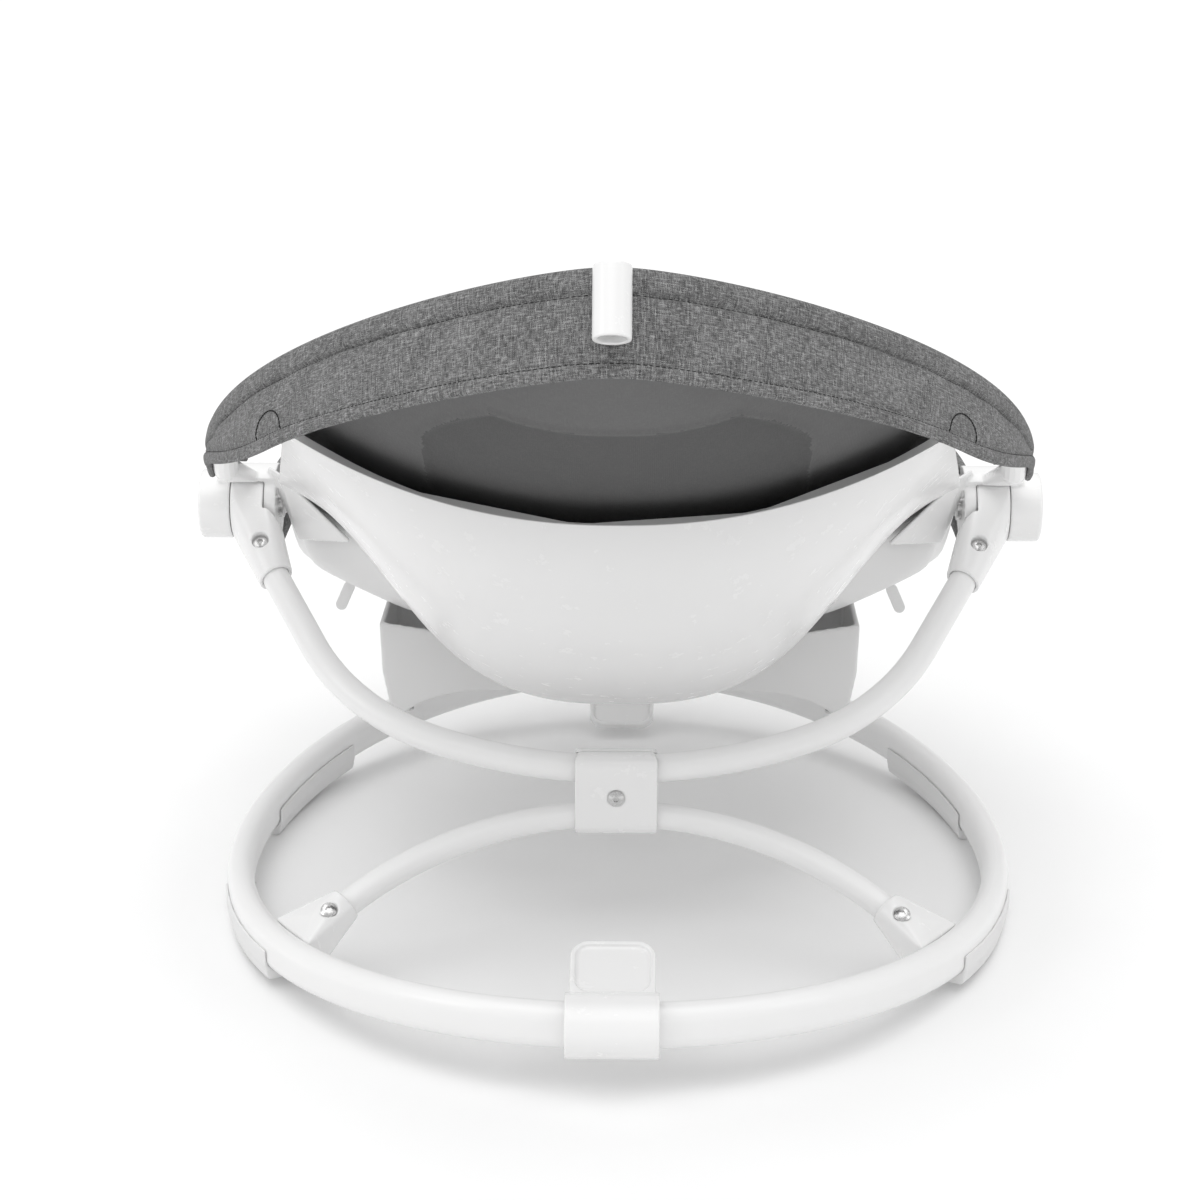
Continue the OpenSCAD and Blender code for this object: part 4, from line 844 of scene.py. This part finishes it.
def skirt_section(depth, along):
    """Cross-section of strip and skirt, round from the border's inner edge: (out, down) points."""
    edge = np.radians(np.linspace(90, 0, 7))
    top = np.linspace(-border_w + 1.5, -3, 12)
    pad = -0.9 * np.sin(np.pi * (top + border_w) / border_w)
    down = np.concatenate([np.linspace(3.5, depth - 1.6, 44)])
    face = skirt_face(down, depth, along)
    outer = [(t, p) for t, p in zip(top, pad)] + [(-3 + 3 * math.cos(a), 3 - 3 * math.sin(a)) for a in edge]
    outer += list(zip(face, down)) + [(face[-1] - 0.7, depth - 0.4), (-cover_t / 2, depth + 0.1)]
    inner_down = np.linspace(depth - 0.8, cover_t, 16)
    inner = [(-cover_t, d) for d in inner_down] + [(t, cover_t) for t in np.linspace(-5, -border_w + 1, 8)]
    return outer + inner + [(-border_w, cover_t / 2)]


def skirt_length(path):
    return np.concatenate([[0], np.cumsum(np.linalg.norm(np.diff(path, axis=0), axis=1))])


def make_head_cover():
    phis = rim_angles(34, 361)
    along = skirt_length(rim_point(phis, np.zeros_like(phis), np.zeros_like(phis)))
    rings = []
    for phi, s in zip(phis, along):
        section = np.array(skirt_section(skirt_depth(head_outline(np.array(phi))[1]), s))
        rings.append(rim_point(np.full(len(section), phi), section[:, 0], section[:, 1]))
    piece = loft("head_cover_cloth", rings, heather, angle=60)
    stand_for(piece, "head_cover", slot="heather_cloth")
    return piece, phis, along


head_cover, head_phis, head_along = make_head_cover()

# %% [markdown]
# ## Foot cover
# The same cloth goes round the foot end of the tray: a strip on top, rolled over the tray's edge and down as a
# skirt that gets shallower towards the toes.

# %% Foot cover
def foot_outline(a):
    return np.stack([tray_half_w * np.sign(np.cos(a)) * np.abs(np.cos(a)) ** (2 / foot_power),
                     foot_start_y + foot_l * np.sin(a) ** (2 / foot_power)], axis=-1)


def make_foot_cover():
    h = math.radians(1.5)
    angles = np.radians(np.linspace(2, 178, 241))
    path = foot_outline(angles)
    d = foot_outline(np.minimum(math.radians(179), angles + h)) - foot_outline(np.maximum(math.radians(1), angles - h))
    d = d / np.linalg.norm(d, axis=1, keepdims=True)
    out = np.stack([d[:, 1], -d[:, 0]], axis=1)
    along = skirt_length(path)
    top_z, gap, border = tray_rim_z + 2.2 + cover_t, 0.15, 16
    rings, girth = [], []
    for q, o, s in zip(path, out, along):
        depth = 62 - 40 * ease((q[1] - foot_start_y) / foot_l)
        down = np.linspace(3.5, depth - 1.6, 30)
        face = gap + cover_t + 0.6 * skirt_face(down, depth, s)
        edge = np.radians(np.linspace(90, 0, 6))
        outer = [(t, -0.7 * math.sin(math.pi * (t + border) / (border + gap)))
                 for t in np.linspace(-border + 1.2, gap - 1, 8)]
        outer += [(gap + 3 * math.cos(a), 3 - 3 * math.sin(a)) for a in edge]
        outer += list(zip(face, down)) + [(face[-1] - 0.7, depth - 0.4), (gap + cover_t / 2, depth + 0.1)]
        inner = [(gap, t) for t in np.linspace(depth - 0.8, cover_t, 12)]
        inner += [(t, cover_t) for t in np.linspace(gap - 4, -border + 1, 5)] + [(-border, cover_t / 2)]
        rings.append([(q[0] + p[0] * o[0], q[1] + p[0] * o[1], top_z - p[1]) for p in outer + inner])
        girth.append(depth + border)
    piece = loft("foot_cover_cloth", rings, heather, angle=60)
    stand_for(piece, "foot_cover", slot="heather_cloth")
    return piece


make_foot_cover()

# %% [markdown]
# ## Stitches
# Rows of stitches hold the seam and the hem, and each hook under the skirt is sewn in with a half-round row.
# A tree walks along a path, drops one short rounded stitch per step and turns it along the path.

# %% The stitch tree
def stitch_tree():
    tree, start, end = new_tree("stitch_row", ("Stitch Length", "Float"), ("Stitch Width", "Float"),
                                ("Stitch Spacing", "Float"), ("Finish", "Material"))
    size = start.outputs
    path = add(tree, "GeometryNodeMeshToCurve", {"Mesh": size["Geometry"]})
    steps = add(tree, "GeometryNodeCurveToPoints", {"Curve": path.outputs[0], "Length": size["Stitch Spacing"]},
                mode="LENGTH")
    bead = add(tree, "GeometryNodeMeshUVSphere", {"Segments": 6, "Rings": 4, "Radius": 0.5})
    scale = add(tree, "ShaderNodeCombineXYZ", {"X": size["Stitch Width"], "Y": size["Stitch Width"],
                                               "Z": size["Stitch Length"]})
    stitch = add(tree, "GeometryNodeTransform", {"Geometry": bead.outputs["Mesh"], "Scale": scale.outputs[0]})
    turn = add(tree, "FunctionNodeAlignRotationToVector", {"Vector": steps.outputs["Tangent"]}, axis="Z")
    placed = add(tree, "GeometryNodeInstanceOnPoints", {"Points": steps.outputs["Points"],
                                                        "Instance": stitch.outputs[0], "Rotation": turn.outputs[0]})
    finish_tree(tree, end, placed.outputs[0], size["Finish"])
    return tree


stitch = stitch_tree()


def stitch_rows(name, paths, body, length=2.6, width=0.55, spacing=3.4):
    points, edges = [], []
    for path in paths:
        start = len(points)
        points += [tuple(p) for p in np.asarray(path) * MM]
        edges += [(i, i + 1) for i in range(start, len(points) - 1)]
    mesh = bpy.data.meshes.new(name)
    mesh.from_pydata(points, edges, [])
    piece = link(bpy.data.objects.new(name, mesh))
    run_tree(piece, stitch, thread, stitch_length=length * MM, stitch_width=width * MM,
             stitch_spacing=spacing * MM)
    piece.data.shade_smooth()
    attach(piece, body)
    print(name, "has", len(piece.data.polygons) // 24, "stitches")
    return piece


def skirt_row(phis, along, down_of):
    depth = skirt_depth(head_outline(phis)[:, 1])
    down = down_of(depth)
    return rim_point(phis, skirt_face(down, depth, along) + 0.1, down)


def hook_arc(side):
    """Half-round row over a hook, arching up from the hem."""
    middle = int(np.argmin(np.abs(head_outline(head_phis)[:, 0] - side * 196)))
    t = np.linspace(0, math.pi, 30)
    s = head_along[middle] + 17 * np.cos(t)
    phi = np.interp(s, head_along, head_phis)
    depth = skirt_depth(head_outline(phi)[:, 1])
    down = depth - 9 - 12 * np.sin(t)
    return rim_point(phi, skirt_face(down, depth, s) + 0.1, down)


def seam_depth(depth):
    return np.minimum(14, 0.45 * depth)


stitch_rows("cover_stitches", [skirt_row(head_phis, head_along, lambda d: seam_depth(d) + 0.5),
                               skirt_row(head_phis, head_along, lambda d: d - 7.4)], "seat")
stitch_rows("hook_stitches", [hook_arc(-1), hook_arc(1)], "seat", width=1.1, spacing=2.2)

# %% [markdown]
# ## Liner
# The liner is a bucket of quilted cloth with a thin filling, hung from the rim. Its underside is plain dark
# lining with a border band. It starts a little flat, and a short cloth simulation blows the filling up between
# its edges, which gives the crowned form of real wadding. Seams are pressed in afterwards, because a voxel
# remesh would wipe them out.

# %% Shape of the liner
def liner_middle_z(y):
    return soft_max(290 - 0.8 * (y + 100), 152 + 0.36 * (y - 80), 25)


def liner_edge_z(y):
    return soft_max(rim_z + (pivot_y - y) * math.tan(rim_tilt), rim_z + 1.2, 4)


inset_phi = np.radians(np.arange(20, 91, 2))
inset_path = head_outline(inset_phi) - (border_w + 3) * head_normal(inset_phi)


def liner_half(y):
    head = np.interp((pivot_y - y) / math.cos(rim_tilt), inset_path[:, 1], inset_path[:, 0])
    waist = 236 - 15
    return np.where(y < 60, mix(head, waist, ease((y + 20) / 45)), np.minimum(waist, foot_half(y) - 5))


liner_end_y = 361.4 - 20
liner_head_y = pivot_y - (rim_l - border_w - 3 - 18) * math.cos(rim_tilt)


def liner_z(x, y):
    side = np.maximum(12, liner_half(y) - 30)
    up = ease((y - liner_end_y + 62 + 14) / 62)
    rise = np.maximum(up, np.minimum(1, np.abs(x) / side) ** 2.2)
    return mix(liner_middle_z(y), liner_edge_z(y), rise)


def on_liner(x, y, lift):
    n = np.stack([(liner_z(x - 1, y) - liner_z(x + 1, y)) / 2, (liner_z(x, y - 1) - liner_z(x, y + 1)) / 2,
                  np.ones_like(x)], axis=-1)
    n /= np.linalg.norm(n, axis=-1, keepdims=True)
    return np.stack([x, y, liner_z(x, y)], axis=-1) + np.asarray(lift)[..., None] * n


# %% Blow up the filling
buckle_y, strap_w, strap_t, strap_lift = 86, 25, 2, 2.2
FLAT_TOP, FLAT_BOTTOM = 3.5, 9.5


def liner_blank():
    ys, us = np.linspace(liner_head_y + 3, liner_end_y - 3, 70), np.linspace(-1, 1, 61)
    grid_y = np.repeat(ys[:, None], len(us), axis=1)
    grid_x = us[None, :] * (liner_half(ys)[:, None] - 2.5)
    z = liner_z(grid_x, grid_y)
    top = np.stack([grid_x, grid_y, z - FLAT_TOP], axis=-1)
    bottom = np.stack([grid_x, grid_y, z - FLAT_BOTTOM], axis=-1)
    piece = slab("seat_liner_cloth", top, bottom, heather)
    remesh = piece.modifiers.new("remesh", "REMESH")
    remesh.mode, remesh.voxel_size = "VOXEL", 4.6 * MM
    return plain_mesh(piece, heather)


def points_of(mesh):
    co = np.empty(len(mesh.vertices) * 3)
    mesh.vertices.foreach_get("co", co)
    return co.reshape(-1, 3)


def set_points(mesh, points):
    mesh.vertices.foreach_set("co", points.ravel())
    mesh.update()


def inflate(piece, pressure=4.0, most=5.0):
    """Runs the cloth for 20 frames and lets no point move further than most."""
    before = points_of(piece.data)
    cloth = piece.modifiers.new("filling", "CLOTH")
    cloth.settings.use_pressure = True
    cloth.settings.uniform_pressure_force = pressure
    cloth.settings.effector_weights.gravity = 0
    cloth.settings.quality = 5
    scene = bpy.context.scene
    scene.frame_start, scene.frame_end = 1, 20
    for number in range(1, 21):
        scene.frame_set(number)
    plain_mesh(piece, heather)
    scene.frame_set(1)
    after = points_of(piece.data)
    move = after - before
    reach = np.linalg.norm(move, axis=1, keepdims=True)
    move *= np.minimum(1, most * MM / np.maximum(reach, 1e-9))
    set_points(piece.data, before + move)
    print("filling moved the cloth by up to", round(float(min(reach.max() / MM, most)), 1), "mm")


def quilt(x, y):
    """Depth of the sewn channels, in millimetres."""
    w = np.abs(x) / np.maximum(liner_half(y), 1)
    lines = bump_at(w, 0.60, 0.018) * ((y > -230) & (y < 300))
    for at in (-190, -110, -30, 50, 190, 262):
        lines = np.maximum(lines, bump_at(y + 22 * (w / 0.6) ** 2, at, 3.2) * (w < 0.6))
    return 2.6 * lines


def fit_liner(piece):
    """Keeps the cloth inside its space, presses seams in and sorts lining from heather."""
    points = points_of(piece.data) / MM
    x, y = points[:, 0], points[:, 1]
    z = liner_z(x, y)
    high = points[:, 2] - z
    is_top = high > -(FLAT_TOP + FLAT_BOTTOM) / 2
    strap = bump_at(y, buckle_y, 26) * (np.abs(x) < 190) + bump_at(x, 0, 20) * ((y > 60) & (y < 190))
    top_limit = mix(3.0, 0.6, np.clip(strap, 0, 1))
    high = np.where(is_top, np.minimum(high, top_limit) - quilt(x, y), np.maximum(high, -12.0))
    points[:, 2] = z + high
    set_points(piece.data, points * MM)
    return is_top


def liner_uv(points):
    """Flat cloth coordinates: arc length across from the middle and along from the head, in metres."""
    ys, us = np.linspace(liner_head_y - 5, liner_end_y + 5, 160), np.linspace(0, 1, 60)
    gx = us[None, :] * (liner_half(ys)[:, None] + 4)
    gz = liner_z(gx, np.repeat(ys[:, None], 60, axis=1))
    across = np.concatenate([np.zeros((160, 1)), np.cumsum(np.hypot(np.diff(gx), np.diff(gz)), axis=1)], axis=1)
    along = skirt_length(np.stack([ys, liner_middle_z(ys)], axis=1))
    x, y = points[:, 0] / MM, points[:, 1] / MM
    row = np.clip(np.interp(y, ys, np.arange(160)), 0, 158.999)
    column = np.clip(np.abs(x) / (liner_half(y) + 4) * 59, 0, 58.999)
    r, c = row.astype(int), column.astype(int)
    fr, fc = row - r, column - c
    u = (mix(across[r, c], across[r + 1, c], fr) * (1 - fc) + mix(across[r, c + 1], across[r + 1, c + 1], fr) * fc)
    return np.stack([np.sign(x) * u, np.interp(y, ys, along)], axis=1) * MM


def panel_edge(flat):
    """Signed distance from the dark centre panel of the lining, in metres; below 0 is inside."""
    wide = 0.118 - 0.045 * np.clip((0.185 - flat[:, 1]) / 0.065, 0, 1) ** 1.5
    return np.maximum(np.abs(flat[:, 0]) - wide, 0.118 - flat[:, 1])


def make_liner():
    piece = liner_blank()
    inflate(piece)
    fit_liner(piece)
    finer = piece.modifiers.new("finer", "SUBSURF")
    finer.levels = finer.render_levels = 1
    plain_mesh(piece, heather, lining, lining_band)
    mesh = piece.data
    points = points_of(mesh)
    flat = liner_uv(points)
    high = points[:, 2] / MM - liner_z(points[:, 0] / MM, points[:, 1] / MM)
    # the lining's centre panel stands a little proud of its border, with a welt round it
    under = high < -6.5
    welt = np.where(under, 1.8 * bump_at(panel_edge(flat), 0, 0.0026), 0)
    points[:, 2] -= welt * MM
    set_points(mesh, points)
    loops = np.empty(len(mesh.loops), int)
    mesh.loops.foreach_get("vertex_index", loops)
    layer = mesh.uv_layers.new(name="cloth")
    layer.data.foreach_set("uv", flat[loops].astype(np.float32).ravel())
    centre = np.empty(len(mesh.polygons) * 3)
    mesh.polygons.foreach_get("center", centre)
    centre = centre.reshape(-1, 3)
    drop = centre[:, 2] / MM - liner_z(centre[:, 0] / MM, centre[:, 1] / MM)
    band = panel_edge(liner_uv(centre)) > 0
    mesh.polygons.foreach_set("material_index", np.where(drop > -7, 0, np.where(band, 2, 1)).astype(np.int32))
    mesh.shade_smooth()
    stand_for(piece, "seat_liner", slot="heather_cloth")
    return piece


make_liner()

# %% [markdown]
# ## Harness
# Two waist straps and a crotch strap lie on the liner and meet in the buckle. Webbing is stiff and flat, and a
# remesh would erase it, so each strap is a ribbon drawn along the liner with rounded edges.

# %% Webbing
def rounded_ribbon(name, node, centre_line, across, lift):
    """Ribbon on the liner: a flat section with rounded edges at each place of its line."""
    ring_u = np.concatenate([np.linspace(-1, 1, 13), np.linspace(1, -1, 13)])
    edge = np.sqrt(np.maximum(0, 1 - np.maximum(0, (np.abs(ring_u) - 0.93) / 0.07) ** 2))
    height = strap_t / 2 * (1 + np.concatenate([edge[:13], -edge[13:]]))
    rings = []
    for (x, y), rise in zip(centre_line, lift):
        xs, ys = x + ring_u * across[0] * strap_w / 2, y + ring_u * across[1] * strap_w / 2
        rings.append(on_liner(xs, ys, strap_lift + rise + height))
    piece = loft(name, rings, webbing, angle=70)
    stand_for(piece, node, slot="webbing")
    return piece


strap_end_x = 23 + 18
for side, name in ((1, "right"), (-1, "left")):
    xs = np.linspace(strap_end_x, strap_end_x + 120, 49)
    rounded_ribbon(name + "_waist_webbing", name + "_waist_strap", [(side * x, buckle_y) for x in xs], (0, 1),
                   6 * ease((strap_end_x + 26 - xs) / 26))
crotch_y = np.linspace(buckle_y + 4, buckle_y + 76, 37)
rounded_ribbon("crotch_webbing", "crotch_strap", [(0, y) for y in crotch_y], (1, 0), np.zeros(37))
for node, finish, slot in (("buckle_body", buckle_dark, "buckle_plastic"),
                           ("buckle_button", release_grey, "buckle_release"),
                           ("left_buckle_tongue", buckle_dark, "buckle_plastic"),
                           ("right_buckle_tongue", buckle_dark, "buckle_plastic"),
                           ("left_strap_adjuster", buckle_dark, "buckle_plastic"),
                           ("right_strap_adjuster", buckle_dark, "buckle_plastic")):
    moulded(node, finish, slot, voxel=0.5, rounds=4)
